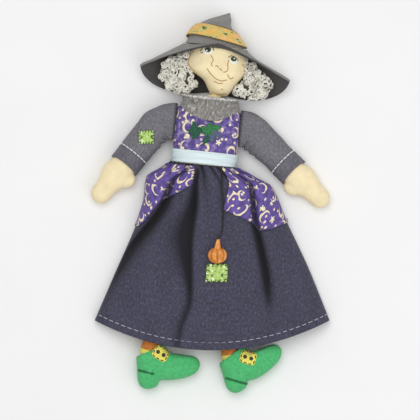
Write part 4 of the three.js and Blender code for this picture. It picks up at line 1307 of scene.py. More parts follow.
class DOLL_OT_torso(bpy.types.Operator):
    """Makes the stuffed torso, the printed bodice and the satin sash"""

    bl_idname = "doll.torso"
    bl_label = "Torso and bodice"

    def execute(self, context):
        dyes = colours(context)
        angle = around(72)
        rows = np.linspace(0, TORSO_LENGTH, 40)[:, None]
        body = loft("muslin_torso", upper(torso(rows, angle)), [muslin("muslin", dyes)])
        settle_in(body, "torso", "muslin", "torso", "torso_stuffing")
        self.bodice(context, dyes)
        self.sash(dyes)
        return {"FINISHED"}

    def bodice(self, context, dyes):
        angle = around(160, BEHIND)
        rows = np.linspace(GAP, TORSO_LENGTH - 4, 60)[:, None]
        grid = torso(rows, angle, BODICE_LIFT)
        pucker = 0.35 * np.sin(angle * 38) * np.exp(-rows / 6) + 0.3 * ripple(grid, 9, 3)
        grid = torso(rows, angle, BODICE_LIFT + pucker)
        cotton = printed_cotton("faded_print", dyes, linear("#a594bf"), sizes(context))
        cloth = shell("bodice_cloth", upper(grid), COTTON, True, [cotton])
        settle_in(cloth, "torso", "printed_cotton", "bodice")

    def sash(self, dyes):
        angle = around(180, BEHIND)
        rows = np.linspace(GAP, SASH_WIDTH, 22)[:, None]
        lift = BODICE_LIFT + GAP + RIBBON
        crease = 0.22 * np.sin(rows * 1.5 + 0.8 * np.sin(angle * 3))
        crease = crease + 0.25 * ripple(torso(rows, angle, lift), 11, 7)
        edge = 0.35 * smooth(np.abs(rows - SASH_WIDTH / 2), SASH_WIDTH * 0.38, SASH_WIDTH / 2)
        grid = torso(rows, angle, lift + crease - edge)
        ribbon = shell("sash_ribbon", upper(grid), RIBBON, True, [satin("satin_ribbon", dyes)])
        settle_in(ribbon, "torso", "satin_ribbon", "sash")


class DOLL_OT_cowl(bpy.types.Operator):
    """Knits the cowl round the neck and pins the leaf sprig under it"""

    bl_idname = "doll.cowl"
    bl_label = "Cowl and sprig"

    # Leaves: stem's place across and up, bearing in degrees, length and width in millimetres, and felt
    leaves = [
        (-7.5, 0, -8, 11, 4.4, "teal"), (-7.5, 0, 118, 8.6, 6, "teal"), (-7.5, 0, 185, 8.5, 5.6, "teal"),
        (-7.5, 0, 245, 9, 5.6, "teal"), (1.5, -1, 248, 12, 4.6, "teal"), (2.5, 0, -20, 10.5, 6.6, "slate"),
        (2.5, 0, -75, 10, 6.2, "slate"), (2.5, 0, 158, 9, 6, "green"), (2.5, 0, 35, 10.5, 6.8, "green"),
        (2.5, 0, 95, 8.4, 6.4, "green"),
    ]
    # Buds: place across and up the chest, then half width and half height
    buds = [(-11.1, 30.4, 1.5, 2.8), (-16.2, 30.8, 1.2, 1.2), (-14.2, 20.0, 1.9, 1.9), (11.1, 27.2, 1.3, 1.8)]

    def execute(self, context):
        dyes = colours(context)
        ribs = sizes(context).ribs
        angle = around(ribs * 14, BEHIND)
        share = np.linspace(0, 1, 46)[:, None]
        front = np.maximum(0, np.sin(angle)) ** 1.5
        low = TORSO_LENGTH - COWL_SIDE_DROP - (COWL_DROP - COWL_SIDE_DROP) * front
        rib = 0.2 + 0.7 * np.cos(ribs * angle + 1.2 * np.sin(5 * angle))
        rib = rib + 0.25 * np.sin(share * 34 + ribs * angle)
        roll = 1.7 * np.sqrt(np.maximum(0, 1 - ((share - 0.9) / 0.1) ** 2))
        lip = 0.7 * np.sqrt(np.maximum(0, 1 - (np.minimum(share, 0.14) / 0.07 - 1) ** 2))
        lift = rib * np.sin(math.pi * np.clip(share * 6, 0, 0.5)) + roll + lip
        forward = np.sin(angle) > 0
        wide = np.interp(share, (0, 1), COWL_HALF_WIDTHS)
        deep = np.where(forward, np.interp(share, (0, 1), COWL_HALF_DEPTHS), COWL_BACK)
        slouch = 0.7 * np.sin(angle * 3 + 5 * share)
        grid = stacked(
            (wide + lift + slouch) * np.cos(angle),
            low + (TORSO_LENGTH + COWL_TOP - low) * share,
            BODY_LEVEL + (deep + np.minimum(lift, np.where(forward, 9, 0.3))) * np.sin(angle),
        )
        inside = stacked(
            (wide - KNIT + slouch) * np.cos(angle),
            low + 0.4 + (TORSO_LENGTH + COWL_TOP - 0.8 - low) * share,
            BODY_LEVEL + (deep - KNIT) * np.sin(angle),
        )
        # The rolled rim takes a lighter knit, a painted highlight along its top edge
        knits = [rib_knit("rib_knit", dyes.knit), rib_knit("knit_rim", linear("#c9c6c1"))]
        marks = np.repeat((share[:-1] > COWL_RIM).astype(int), grid.shape[1], 1)
        cowl = shell("cowl_knit", upper(grid), KNIT, True, knits, marks, upper(inside))
        start = upper((0, TORSO_LENGTH - COWL_SIDE_DROP - 2, BODY_LEVEL))
        end = upper((0, TORSO_LENGTH + COWL_TOP, BODY_LEVEL))
        bend(cowl, ("torso", "neck"), "grey_knit", "knit_cowl", start, end)
        self.sprig(dyes)
        return {"FINISHED"}

    def sprig(self, dyes):
        """Leaves in three greens round two stems, and small cream buds."""
        finishes = {
            "green": felt("leaf_felt", dyes.leaf, 0.5),
            "teal": felt("under_leaf_felt", linear("#2b6049"), 0.55),
            "slate": felt("slate_leaf_felt", linear("#5c6680"), 0.3),
        }
        made = []
        for number, (across, up, degrees, length, width, finish) in enumerate(self.leaves):
            heart = np.array([across, TORSO_LENGTH - COWL_DROP - 2 * GAP - 7.6 + up])
            lift = {"teal": 0.4, "slate": 0.7, "green": 1.0}[finish] + 0.2 * (number % 2)
            made.append(self.leaf(heart, math.radians(degrees), length, width, lift, finishes[finish]))
        settle_in(joined(made), "torso", "leaf_felt", "leaf_sprig")
        cream = felt("cream_felt", linear("#f0e6cc"))
        turn = around(28)[0]
        for number, (across, up, wide, high) in enumerate(self.buds):
            edge = np.stack([across + wide * np.cos(turn), up + high * np.sin(turn)], -1)
            bud = applique(f"sprig_bud_{number}", edge, chest_height, 1.0, [cream], upper)
            settle_in(bud, "torso", "leaf_felt")

    def leaf(self, heart, bearing, length, width, lift, material):
        along = np.linspace(0, 1, 40)[:, None]
        side = np.linspace(-1, 1, 17)[None]
        lobes = 0.86 + 0.16 * np.cos(along * 2 * math.pi * 2.5) + 0.05 * np.sin(along * 55)
        half = width / 2 * np.sin(math.pi * (0.04 + 0.94 * along**0.85)) ** 0.5 * side * lobes
        bow = 0.09 * length * np.sin(math.pi * along)
        reach = length * (along - 0.15) - 0.1 * length * side * side
        x, y = rotated(reach, half + bow, bearing)
        flat = np.stack([heart[0] + x, heart[1] + y], -1)
        vein = -0.35 * bell(side, 0.12) - 0.12 * np.cos(along * 30 + 6 * np.abs(side))
        curl = 0.5 * along**2 + 0.8 * (1 - side * side)
        grid = laid_on(chest_height, flat, GAP + LEAF + lift + curl + vein)
        return shell("leaf_sprig_leaves", upper(grid), LEAF, False, [material])


class DOLL_OT_arms(bpy.types.Operator):
    """Makes the stuffed arms and hands, the denim sleeves and the sleeve patch"""

    bl_idname = "doll.arms"
    bl_label = "Arms and sleeves"

    def execute(self, context):
        for name, side in SIDES.items():
            self.hand(context, name, side)
            self.sleeve(context, name, side)
        self.patch(context)
        return {"FINISHED"}

    def hand(self, context, name, side):
        dyes = colours(context)
        hang = HANGS[name]
        tip = FINGER_WIDTH / 2
        along = round_ended(np.linspace(12, ARM_LENGTH - tip, 46), tip, (0.1, 1.55))
        angle = around(48)
        limb = loft(f"{name}_hand", upper(arm(side, hang, along, angle)), [muslin("muslin", dyes)])
        root = arm(side, hang, np.array(SLEEVE_LENGTH + THUMB_ROOT), np.array(math.pi), -1.5)
        length, wide, deep = THUMB_SIZE
        u = np.linspace(0.06, math.pi - 0.06, 20)[:, None]
        x, y = rotated(-length * np.cos(u), wide * np.sin(u) * np.cos(angle), THUMB_SPREAD - hang)
        flat = stacked(side * x, y, deep * np.sin(u) * np.sin(angle))
        limb = joined([limb, loft(f"{name}_thumb", upper(root + flat), [])])
        self.fuse(limb)
        heights = np.array([v.co.z for v in limb.data.vertices]) / MM
        seam = np.abs(heights - np.median(heights)) < 0.5
        stuff(limb, seam, *HAND_STUFFING)
        settle_in(limb, f"{name}_arm", "muslin", f"{name}_arm", f"{name}_arm_stuffing")

    def fuse(self, made):
        """Joins overlapping skins into one even mesh and softens the joints."""
        remesh = made.modifiers.new("fuse", "REMESH")
        remesh.mode = "VOXEL"
        remesh.voxel_size = HAND_VOXEL * MM
        remesh.use_smooth_shade = True
        relax = made.modifiers.new("soften", "SMOOTH")
        relax.iterations = 6
        relax.factor = 0.5
        shape = made.evaluated_get(bpy.context.evaluated_depsgraph_get())
        made.data = bpy.data.meshes.new_from_object(shape)
        made.modifiers.clear()

    def sleeve(self, context, name, side):
        dyes = colours(context)
        hang = HANGS[name]
        along = np.linspace(-2, SLEEVE_LENGTH, 110)[:, None]
        angle = around(96, BEHIND)
        lift = GAP + DENIM
        still = arm(side, hang, along, angle, lift)
        crook = bell(along - ARM_BEND * hang, 9) * np.maximum(0, -np.cos(angle)) ** 2
        wrinkle = 0.75 * ripple(still, 9, 11 + side) + 0.9 * crook * np.sin(along * 1.1)
        gathered = 0.5 * np.sin(angle * 24) * np.exp(-np.maximum(0, along) / 5)
        seam_line = SLEEVE_LENGTH - CUFF_DEPTH
        turned_up = 0.5 * smooth(along, seam_line - 0.6, seam_line) - 0.6 * bell(along - seam_line, 0.7)
        low = np.minimum(1, 1 + 0.9 * np.minimum(0, np.sin(angle)))
        drawn = along - CUFF_BOW * smooth(along, CUFF_BOW_START, SLEEVE_LENGTH) * np.maximum(0, np.sin(angle))
        grid = arm(side, hang, drawn, angle, lift + (wrinkle + gathered) * low + turned_up)
        rows = (along[:-1, 0] > seam_line).astype(int)
        marks = np.repeat(rows[:, None], grid.shape[1], 1)
        cloths = [
            denim("grey_denim", dyes.sleeve_denim, linear("#7b7a86"), linear("#98979f"), sizes(context)),
            denim("grey_denim_cuff", linear("#68656d"), linear("#6d6b78"), linear("#8c8a94"), sizes(context)),
        ]
        cloth = shell(f"{name}_sleeve_cloth", upper(grid), DENIM, True, cloths, marks)
        # Painted shade at the armhole seam, where the sleeve meets the bodice
        mark_painted_shade(cloth, np.repeat(0.85 * (1 - smooth(along, -1.4, 0.6)), grid.shape[1], 1))
        start = upper((side * (ARM_SEAM - 1), ARM_HEIGHT, BODY_LEVEL))
        end = upper((side * (ARM_SEAM + 12), ARM_HEIGHT, BODY_LEVEL))
        bend(cloth, ("torso", f"{name}_arm"), "grey_denim", f"{name}_sleeve", start, end)
        ring = np.linspace(0.02 * math.pi, 0.98 * math.pi, 60)
        bowed = seam_line - CUFF_BOW * smooth(seam_line, CUFF_BOW_START, SLEEVE_LENGTH) * np.sin(ring)
        line = upper(arm(side, hang, bowed, ring, lift + 0.55))
        white = sewing_thread("white_thread", "#eeeef2")
        row = tubes(f"{name}_cuff_stitches", stitches(line, *CUFF_STITCH), CUFF_THREAD, 8, [white])
        settle_in(row, f"{name}_arm", "grey_denim")

    def patch(self, context):
        """A square of cotton that keeps level on the slanting sleeve."""
        hang = HANGS["right"]
        middle = arm(-1, hang, np.array(SLEEVE_PATCH_PLACE), np.array(math.pi / 2))
        u = SLEEVE_PATCH_SIZE[0] * np.linspace(-0.5, 0.5, 22)[None]
        v = SLEEVE_PATCH_SIZE[1] * np.linspace(-0.5, 0.5, 22)[:, None]
        x, y = rotated(u, v, LEAN + SLEEVE_PATCH_TURN)
        across = -(middle[0] + x) - ARM_SEAM - ARM_BEND * math.sin(hang)
        drop = ARM_HEIGHT - (middle[1] + y) - ARM_BEND * (1 - math.cos(hang))
        along = across * math.cos(hang) + drop * math.sin(hang) + ARM_BEND * hang
        wide = across * math.sin(hang) - drop * math.cos(hang)
        lift = GAP + DENIM + 0.9
        angle = np.arccos(np.clip(wide / (arm_half_width(along) + lift), -1, 1))
        lift = lift + 0.25 * ripple(arm(-1, hang, along, angle), 4, 5)
        grid = arm(-1, hang, along, angle, lift)
        lime = patch_cotton("lime_cotton", colours(context))
        cloth = shell("sleeve_patch_cloth", upper(grid), PATCH, False, [lime])
        settle_in(cloth, "right_arm", "lime_cotton", "sleeve_patch")
        dark = sewing_thread("green_thread", "#4c6b2c")
        sewn = tacks(upper(grid), (4, 5), 0.3, 0.3)
        made = tubes("sleeve_patch_stitches", sewn, SLEEVE_TACK_THREAD, 7, [dark])
        settle_in(made, "right_arm", "lime_cotton")


class DOLL_OT_head(bpy.types.Operator):
    """Makes the neck and the stuffed head, with its stitched face"""

    bl_idname = "doll.head"
    bl_label = "Head and face"

    def execute(self, context):
        dyes = colours(context)
        skin = muslin("muslin", dyes)
        turn = around(36)
        latitude = np.concatenate([np.linspace(-1.5, 0, 10), np.zeros(4)])[:, None]
        rise = np.concatenate([np.zeros(10), np.array([1.5, 2.8, 4.0, 5.0])])[:, None]
        neck = stacked(
            NECK_ASIDE + NECK_HALF_WIDTH * np.cos(latitude) * np.cos(turn),
            TORSO_LENGTH + 1.5 + NECK_HALF_DEPTH * np.sin(latitude) + rise,
            BODY_LEVEL + NECK_HALF_DEPTH * np.cos(latitude) * np.sin(turn),
        )
        settle_in(loft("muslin_neck", upper(neck), [skin]), "neck", "muslin", "neck")
        angle = around(96)
        rows = np.concatenate([np.linspace(0, 3, 6)[:-1], np.linspace(3, HEAD_HEIGHT, 52)])[:, None]
        grid = head(rows, angle)
        ball = loft("muslin_head", in_head(grid), [skin])
        seam = np.zeros(len(ball.data.vertices), bool)
        at_side = np.abs(np.sin(angle)) < 0.07
        seam[: grid.shape[0] * grid.shape[1]] = at_side.repeat(len(rows), 0).reshape(-1)
        stuff(ball, seam, *HEAD_STUFFING)
        settle_in(ball, "head", "muslin", "head", "head_stuffing")
        self.face()
        return {"FINISHED"}

    def face(self):
        brown = sewing_thread("brown_thread", "#b1935f")
        dark = sewing_thread("dark_thread", "#3b3a28")
        white = sewing_thread("white_floss", "#fbfaf0")
        iris = sewing_thread("green_floss", "#39472f")
        ovals = (
            ("eye_white_right", (-8.4, 33.1), (3.8, 3.0), -0.12, 0.35, white),
            ("eye_iris_right", (-8.2, 33.7), (2.4, 2.1), 0.0, 0.6, iris),
            ("eye_glint_right", (-9.0, 32.8), (0.75, 0.7), 0.0, 0.8, white),
            ("eye_white_left", (12.0, 27.3), (3.5, 2.2), -0.3, 0.35, white),
            ("eye_iris_left", (11.6, 28.6), (2.2, 1.7), -0.2, 0.6, iris),
            ("eye_glint_left", (12.2, 29.2), (0.7, 0.6), 0.0, 0.8, white),
        )
        for name, centre, radii, tilt, thickness, material in ovals:
            turn = around(32)[0]
            x, y = rotated(radii[0] * np.cos(turn), radii[1] * np.sin(turn), tilt)
            edge = np.stack([centre[0] + x, centre[1] + y], -1)
            settle_in(applique(name, edge, face_height, thickness, [material], in_head), "head", "muslin")
        lines = (
            ("brow_lines", dark, 0.3, [
                [(-13.6, 31.8), (-12.2, 34.6), (-8.8, 36.4), (-5.0, 35.4), (-3.6, 33.4)],
                [(-13.2, 30.6), (-11.6, 31.4)],
                [(7.6, 29.4), (9.6, 30.8), (12.4, 30.2), (15.2, 27.8)],
            ]),
            ("nose_lines", brown, 0.33, [
                [(-5.6, 29.6), (-4.0, 27.6), (-3.4, 25.6), (-4.6, 23.2), (-3.4, 21.6)],
                [(-1.4, 21.8), (-0.2, 22.3), (1.2, 21.3)],
                [(1.6, 20.2), (2.8, 20.2), (3.8, 19.0)],
                [(5.0, 18.2), (7.0, 18.6), (8.2, 21.0), (7.6, 24.2), (8.2, 27.6)],
            ]),
            ("smile_lines", brown, 0.33, [
                [(-7.2, 19.6), (-5.8, 17.6), (-3.4, 15.2), (0.2, 12.6), (4.4, 11.6), (8.2, 12.6)],
                [(8.4, 17.0), (9.2, 15.2), (11.2, 13.8), (13.0, 15.2)],
                [(-1.2, 10.8), (2.6, 9.4), (5.4, 10.0)],
                [(4.6, 5.6), (5.4, 5.2), (6.0, 5.8)],
                [(-2.4, 2.4), (2.8, 1.7), (8.6, 2.6)],
            ]),
            ("cheek_lines", brown, 0.3, [
                [(-17.6, 33.6), (-20.2, 29.0), (-21.6, 24.0), (-20.8, 20.8), (-15.6, 16.2), (-9.6, 12.0)],
                [(18.4, 25.6), (20.2, 23.4), (20.4, 19.6)],
            ]),
        )
        for name, material, radius, paths in lines:
            flat = [spline(path, 8 * len(path)) for path in paths]
            laid = [in_head(laid_on(face_height, line, 0.18)) for line in flat]
            settle_in(tubes(name, laid, radius, 7, [material]), "head", "muslin")


class DOLL_OT_hair(bpy.types.Operator):
    """Loops the yarn hair on both sides of the face"""

    bl_idname = "doll.hair"
    bl_label = "Hair"

    # Locks: out from the middle of the face, up from the chin, and radius
    locks = {
        "right": [
            (25, 27, 4.5), (25, 20, 5.5), (30.5, 21.5, 6), (22, 12.5, 5.5), (28, 13, 7), (35, 15, 6.5),
            (17, 7, 4.2), (23, 7.5, 5.5), (32, 7.5, 5.5),
        ],
        "left": [
            (24.5, 22.5, 5.5), (26, 16, 6), (31.5, 18, 5.5), (23.5, 9.5, 6), (31, 10.5, 6.5), (37, 12, 6),
            (18, 6, 5), (27, 4.5, 5.5), (35, 5.5, 5),
        ],
    }

    # Small locks that fill the brim's shade along its edge and beside the brow
    fringe = {
        "right": [
            (39.5, 10, 3.5), (34, 4.2, 3.5), (27.5, 2.2, 3.4), (21, 2.2, 3), (38.5, 19, 3.2), (35.5, 23, 3),
            (28.5, 26.5, 3), (21, 31.5, 2.2),
        ],
        "left": [(20.8, 25.5, 2.4), (20.4, 28.5, 2), (21.5, 4, 2.6), (31, 2.6, 3)],
    }

    def execute(self, context):
        thick = sizes(context).yarn / MM
        chance = np.random.default_rng(11)
        pale = yarn("white_yarn", colours(context).yarn)
        grey = yarn("grey_yarn", linear("#c6c3b5"))
        for name, side in SIDES.items():
            loops = []
            for out, up, radius in self.locks[name] + self.fringe[name]:
                for _ in range(int(LOOPS_PER_AREA * radius * radius)):
                    loops.append(self.loop((side * out, up), radius, thick, chance))
            made = tubes(f"hair_{name}_curls", loops[::4] + loops[1::4] + loops[2::4], thick / 2, 6, [pale])
            settle_in(made, "head", "white_yarn", f"hair_{name}")
            settle_in(tubes(f"hair_{name}_strands", loops[3::4], thick / 2, 6, [grey]), "head", "white_yarn")
            settle_in(self.mat(name, side), "head", "white_yarn")
        return {"FINISHED"}

    def loop(self, place, radius, thick, chance):
        """A small loop of yarn that stands out of a lock."""
        level = chance.uniform(-0.5, 1)
        bearing = chance.uniform(0, 2 * math.pi)
        flat = math.sqrt(1 - level * level)
        out = np.array([flat * math.cos(bearing), flat * math.sin(bearing), level])
        reach = np.array([radius, radius, min(radius + 1, HAIR_DEPTH / 2)]) - LOOP_INSET
        root = np.array([*place, HEAD_LEVEL + 1]) + out * reach
        facing = out + chance.uniform(-0.5, 0.5, 3)
        facing /= np.linalg.norm(facing)
        first = np.cross(facing, chance.uniform(-1, 1, 3))
        first /= np.linalg.norm(first)
        second = np.cross(facing, first)
        share = np.linspace(0, 1, 22)[:, None]
        turn = 2 * math.pi * chance.uniform(*LOOP_TURNS) * share
        wound = chance.uniform(*LOOP_RADII) * (1 - 0.2 * share)
        coil = wound * (np.cos(turn) * first + np.sin(turn) * second)
        return in_head(root + coil + (share - 0.6) * thick * 1.4 * facing)

    def mat(self, name, side):
        """Dark bodies inside the locks: painted shadow that shows between the loops."""
        shade = yarn("yarn_shadow", linear("#454238"))
        angle = around(40)
        latitude = np.linspace(0.12, math.pi - 0.12, 14)[:, None]
        made = []
        for out, up, radius in self.locks[name] + self.fringe[name]:
            lump = stacked(
                side * out + (radius - SHADOW_BODY_INSET) * np.sin(latitude) * np.cos(angle),
                up + (radius - SHADOW_BODY_INSET) * np.sin(latitude) * np.sin(angle),
                HEAD_LEVEL + 1 + (min(radius + 1, HAIR_DEPTH / 2) - 2) * np.cos(latitude),
            )
            made.append(loft(f"hair_{name}_mat", in_head(lump), [shade]))
        return joined(made)


class DOLL_OT_hat(bpy.types.Operator):
    """Makes the hat's crown, ribbon band and brim"""

    bl_idname = "doll.hat"
    bl_label = "Hat"

    def execute(self, context):
        dyes = colours(context)
        grey = chambray("grey_chambray", dyes.hat)
        # The brim's under side takes a dark chambray, painted shade under the brim
        dark = chambray("charcoal_lining", dyes.lining)
        angle = around(120, BEHIND)
        share = round_ended(np.linspace(0, 0.9, 48), 0.1)
        still = crown(share, angle)
        crush = (0.9 * ripple(still, 13, 2) + 0.4 * ripple(still, 5, 8)) * smooth(share, 0.02, 0.2)
        closed = crown(share, angle, crush)
        inside = crown(share[:-6][::-1], angle, crush[:-6][::-1] - DENIM)
        grid = np.concatenate([inside, closed])
        top = loft("hat_crown_cloth", in_head(grid), [grey])
        settle_in(top, "head", "grey_chambray", "hat_crown")
        self.band(dyes)
        self.brim(grey, dark)
        return {"FINISHED"}

    def band(self, dyes):
        angle = around(140, BEHIND)
        low = (BAND_RISE - BAND_TILT * (1 + np.cos(angle)) / 2) / CROWN_HEIGHT
        share = low + np.linspace(0, BAND_HEIGHT / CROWN_HEIGHT, 14)[:, None]
        still = crown(share, angle)
        lift = GAP + RIBBON + 0.9 + 0.5 * ripple(still, 12, 4)
        grid = crown(share, angle, lift)
        gold = gold_ribbon("gold_ribbon", dyes, float(lengths(grid[:, 70])[-1]))
        cloth = shell("hat_band_ribbon", in_head(grid), RIBBON, True, [gold])
        settle_in(cloth, "head", "gold_ribbon", "hat_band")

    def brim(self, grey, dark):
        angle = around(260, BEHIND)
        share = np.linspace(0, 1, 34)[:, None]
        share, angle = np.broadcast_arrays(share, angle)
        grid = brim(share, angle)
        wave = 0.6 * ripple(grid, 16, 5) * share
        edge = 0.5 * bell(share - 0.93, 0.05) * (np.sin(angle) > 0)
        lift = BRIM / 2 + wave * np.maximum(0, np.sin(angle)) + edge
        grid = grid + normals(grid, True) * lift[..., None]
        marks = np.zeros((grid.shape[0] - 1, grid.shape[1]), int)
        # The under side takes the last finish, the painted shade
        cloth = shell("hat_brim_cloth", in_head(grid), BRIM, True, [grey, dark], marks)
        settle_in(cloth, "head", "grey_chambray", "hat_brim")


class DOLL_OT_skirt(bpy.types.Operator):
    """Makes the hips, the gathered skirt, its hip panels, hem stitches and patch"""

    bl_idname = "doll.skirt"
    bl_label = "Skirt"

    # The panels' edges: where each leaves the waist, and the corners of its lower edge to the skirt's side
    right_edge = [(-6.4, -1), (-6.4, -14.2), (-21.9, -22.4), (-31.5, -27.4), (-44, -42.7), (-49.6, -46)]
    left_edge = [(12.2, -1), (13.9, -33.5), (35.6, -43), (40.1, -49), (50, -48), (63.0, -42.7)]

    def execute(self, context):
        dyes = colours(context)
        self.hips(dyes)
        front = np.linspace(0, math.pi, 460)
        back = np.linspace(math.pi, 2 * math.pi, 40)[1:-1]
        angle = np.concatenate([front, back])[None]
        share = np.concatenate([np.linspace(0, 0.3, 60), np.linspace(0.3, 1, 90)[1:]])[:, None]
        share, angle = np.broadcast_arrays(share, angle)
        grid = skirt(share, angle)
        above = np.maximum(0, np.sin(angle))
        grid[..., 2] += 0.55 * ripple(grid, 17, 1) * above * smooth(share, 0.05, 0.2)
        hem = HEM_DEPTH / SKIRT_LENGTH
        grid[..., 2] -= 0.5 * above * bell(1 - share - hem, 0.006)
        thickness = DENIM + 0.5 * smooth(share, 1 - hem - 0.005, 1 - hem)
        navy = denim("navy_denim", dyes.skirt_denim, linear("#4a4963"), linear("#68677e"), sizes(context))
        cloth = shell("skirt_cloth", lower(grid), thickness, True, [navy])
        # Painted shade in the skirt's folds and waist pleats
        mark_painted_shade(cloth, fold_shade(share, angle))
        self.bend(cloth, "navy_denim", "skirt")
        self.panel(context, "right_hip_panel", self.right_edge)
        self.panel(context, "left_hip_panel", self.left_edge)
        self.hem_stitches(context)
        self.patch(context)
        return {"FINISHED"}

    def bend(self, cloth, slot, node):
        """Puts cloth at the waist in place of its solid, through bend, which is given the torso and the hips.
        """
        bend(cloth, ("torso", "hips"), slot, node, *(upper(point) for point in SKIRT_BEND))

    def hips(self, dyes):
        drop = round_ended(np.linspace(0, 18, 12), 8)
        angle = around(60)
        past = np.maximum(0, drop - HIPS_LENGTH * 0.7) / (HIPS_LENGTH * 0.3)
        end = np.sqrt(np.maximum(0, 1 - past**2))
        x = HIPS_WIDTH / 2 * (0.75 + 0.25 * end) * np.cos(angle)
        y = -GAP - drop - x * math.tan(LEAN) * (1 - drop / HIPS_LENGTH)
        grid = stacked(x, y, HIPS_LEVEL + HIPS_DEPTH / 2 * (0.35 + 0.65 * end) * np.sin(angle))
        made = loft("muslin_hips", lower(grid), [muslin("muslin", dyes)])
        settle_in(made, "hips", "muslin", "hips")

    def panel(self, context, name, edge):
        """Printed cotton gathered into the waist and puffed over the skirt, with its edge turned under."""
        edge = np.array(edge, float)
        run = lengths(edge[1:])
        u = np.linspace(0, 1, 130)
        low_x = np.interp(u, run / run[-1], edge[1:, 0])
        low_y = np.interp(u, run / run[-1], edge[1:, 1])
        low_share, low_angle = skirt_place(low_x, low_y)
        high_share, high_angle = skirt_place(edge[0, 0] + u * 0, edge[0, 1] + u * 0)
        outer = 0.0 if edge[0, 0] > 0 else math.pi
        high_angle = high_angle + (outer - high_angle) * u**0.8
        low_angle = np.where(u > 0.999, outer, low_angle)
        v = np.linspace(0, 1, 60)[:, None]
        share = high_share + (low_share - high_share) * v
        angle = high_angle + (low_angle - high_angle) * v ** 0.75
        puff = 1.6 * np.sin(math.pi * v) ** 0.6 * np.sin(math.pi * np.clip(u, 0.03, 0.97))[None] ** 0.5
        rolled = 0.9 * smooth(v, 0.9, 0.97) * (1 - smooth(v, 0.97, 1.0))
        crinkle = 0.5 * np.sin(u * 64)[None] * np.exp(-v / 0.2)
        base = skirt(share, angle)
        lean = 0.4 * np.sign(edge[0, 0])
        lift = GAP + COTTON + 0.25 + puff + rolled + crinkle + 0.4 * ripple(base, 8, 6)
        grid = base + stacked(lean * lift, 0 * lift, lift)
        dyes = colours(context)
        cotton = printed_cotton("printed_cotton", dyes, tint(dyes.print_ground, 1.4), sizes(context))
        cloth = shell(f"{name}_cloth", lower(grid), COTTON, False, [cotton])
        # Painted shade in the panel's folds, narrowed to their cores
        mark_painted_shade(cloth, 0.95 * fold_shade(share, angle) ** 2.5)
        self.bend(cloth, "printed_cotton", name)

    def hem_stitches(self, context):
        size = sizes(context)
        angle = np.linspace(0.05, math.pi - 0.05, 500)
        share = np.full(500, 1 - HEM_DEPTH / SKIRT_LENGTH)
        line = lower(skirt(share, angle))
        white = sewing_thread("hem_thread", "#b9b8c6")
        sewn = stitches(line, size.stitch / MM, size.stitch_pitch / MM)
        off = np.array([abs(stitch[2, 0] - lower((-2.0, 0, 0))[0]) for stitch in sewn])
        drawn_in = size.thread / MM / 2 * (0.5 + 0.5 * smooth(off, 16, 24))
        row = tubes("hem_stitches", sewn, drawn_in, 8, [white])
        settle_in(row, "hips", "navy_denim")

    def patch(self, context):
        x = SKIRT_PATCH_MIDDLE[0] + SKIRT_PATCH_SIZE[0] * np.linspace(-0.5, 0.5, 26)[None]
        off = SKIRT_PATCH_SIZE[1] * np.linspace(-0.5, 0.5, 24)[:, None]
        notch = 0.5 * np.sin(x * 1.7) * (np.abs(off) > 5.5)
        place = stacked(x + 0.09 * off, SKIRT_PATCH_MIDDLE[1] + off + notch, 0)
        grid = lower(laid_on(skirt_height, place, GAP + COTTON + 0.25 * ripple(place, 4, 9)))
        lime = patch_cotton("lime_cotton", colours(context))
        cloth = shell("skirt_patch_cloth", grid, PATCH, False, [lime])
        settle_in(cloth, "hips", "lime_cotton", "skirt_patch")
        dark = sewing_thread("green_thread", "#4c6b2c")
        made = tubes("skirt_patch_stitches", tacks(grid, (5, 6), 0.6, 0.35), SKIRT_TACK_THREAD, 7, [dark])
        settle_in(made, "hips", "lime_cotton")


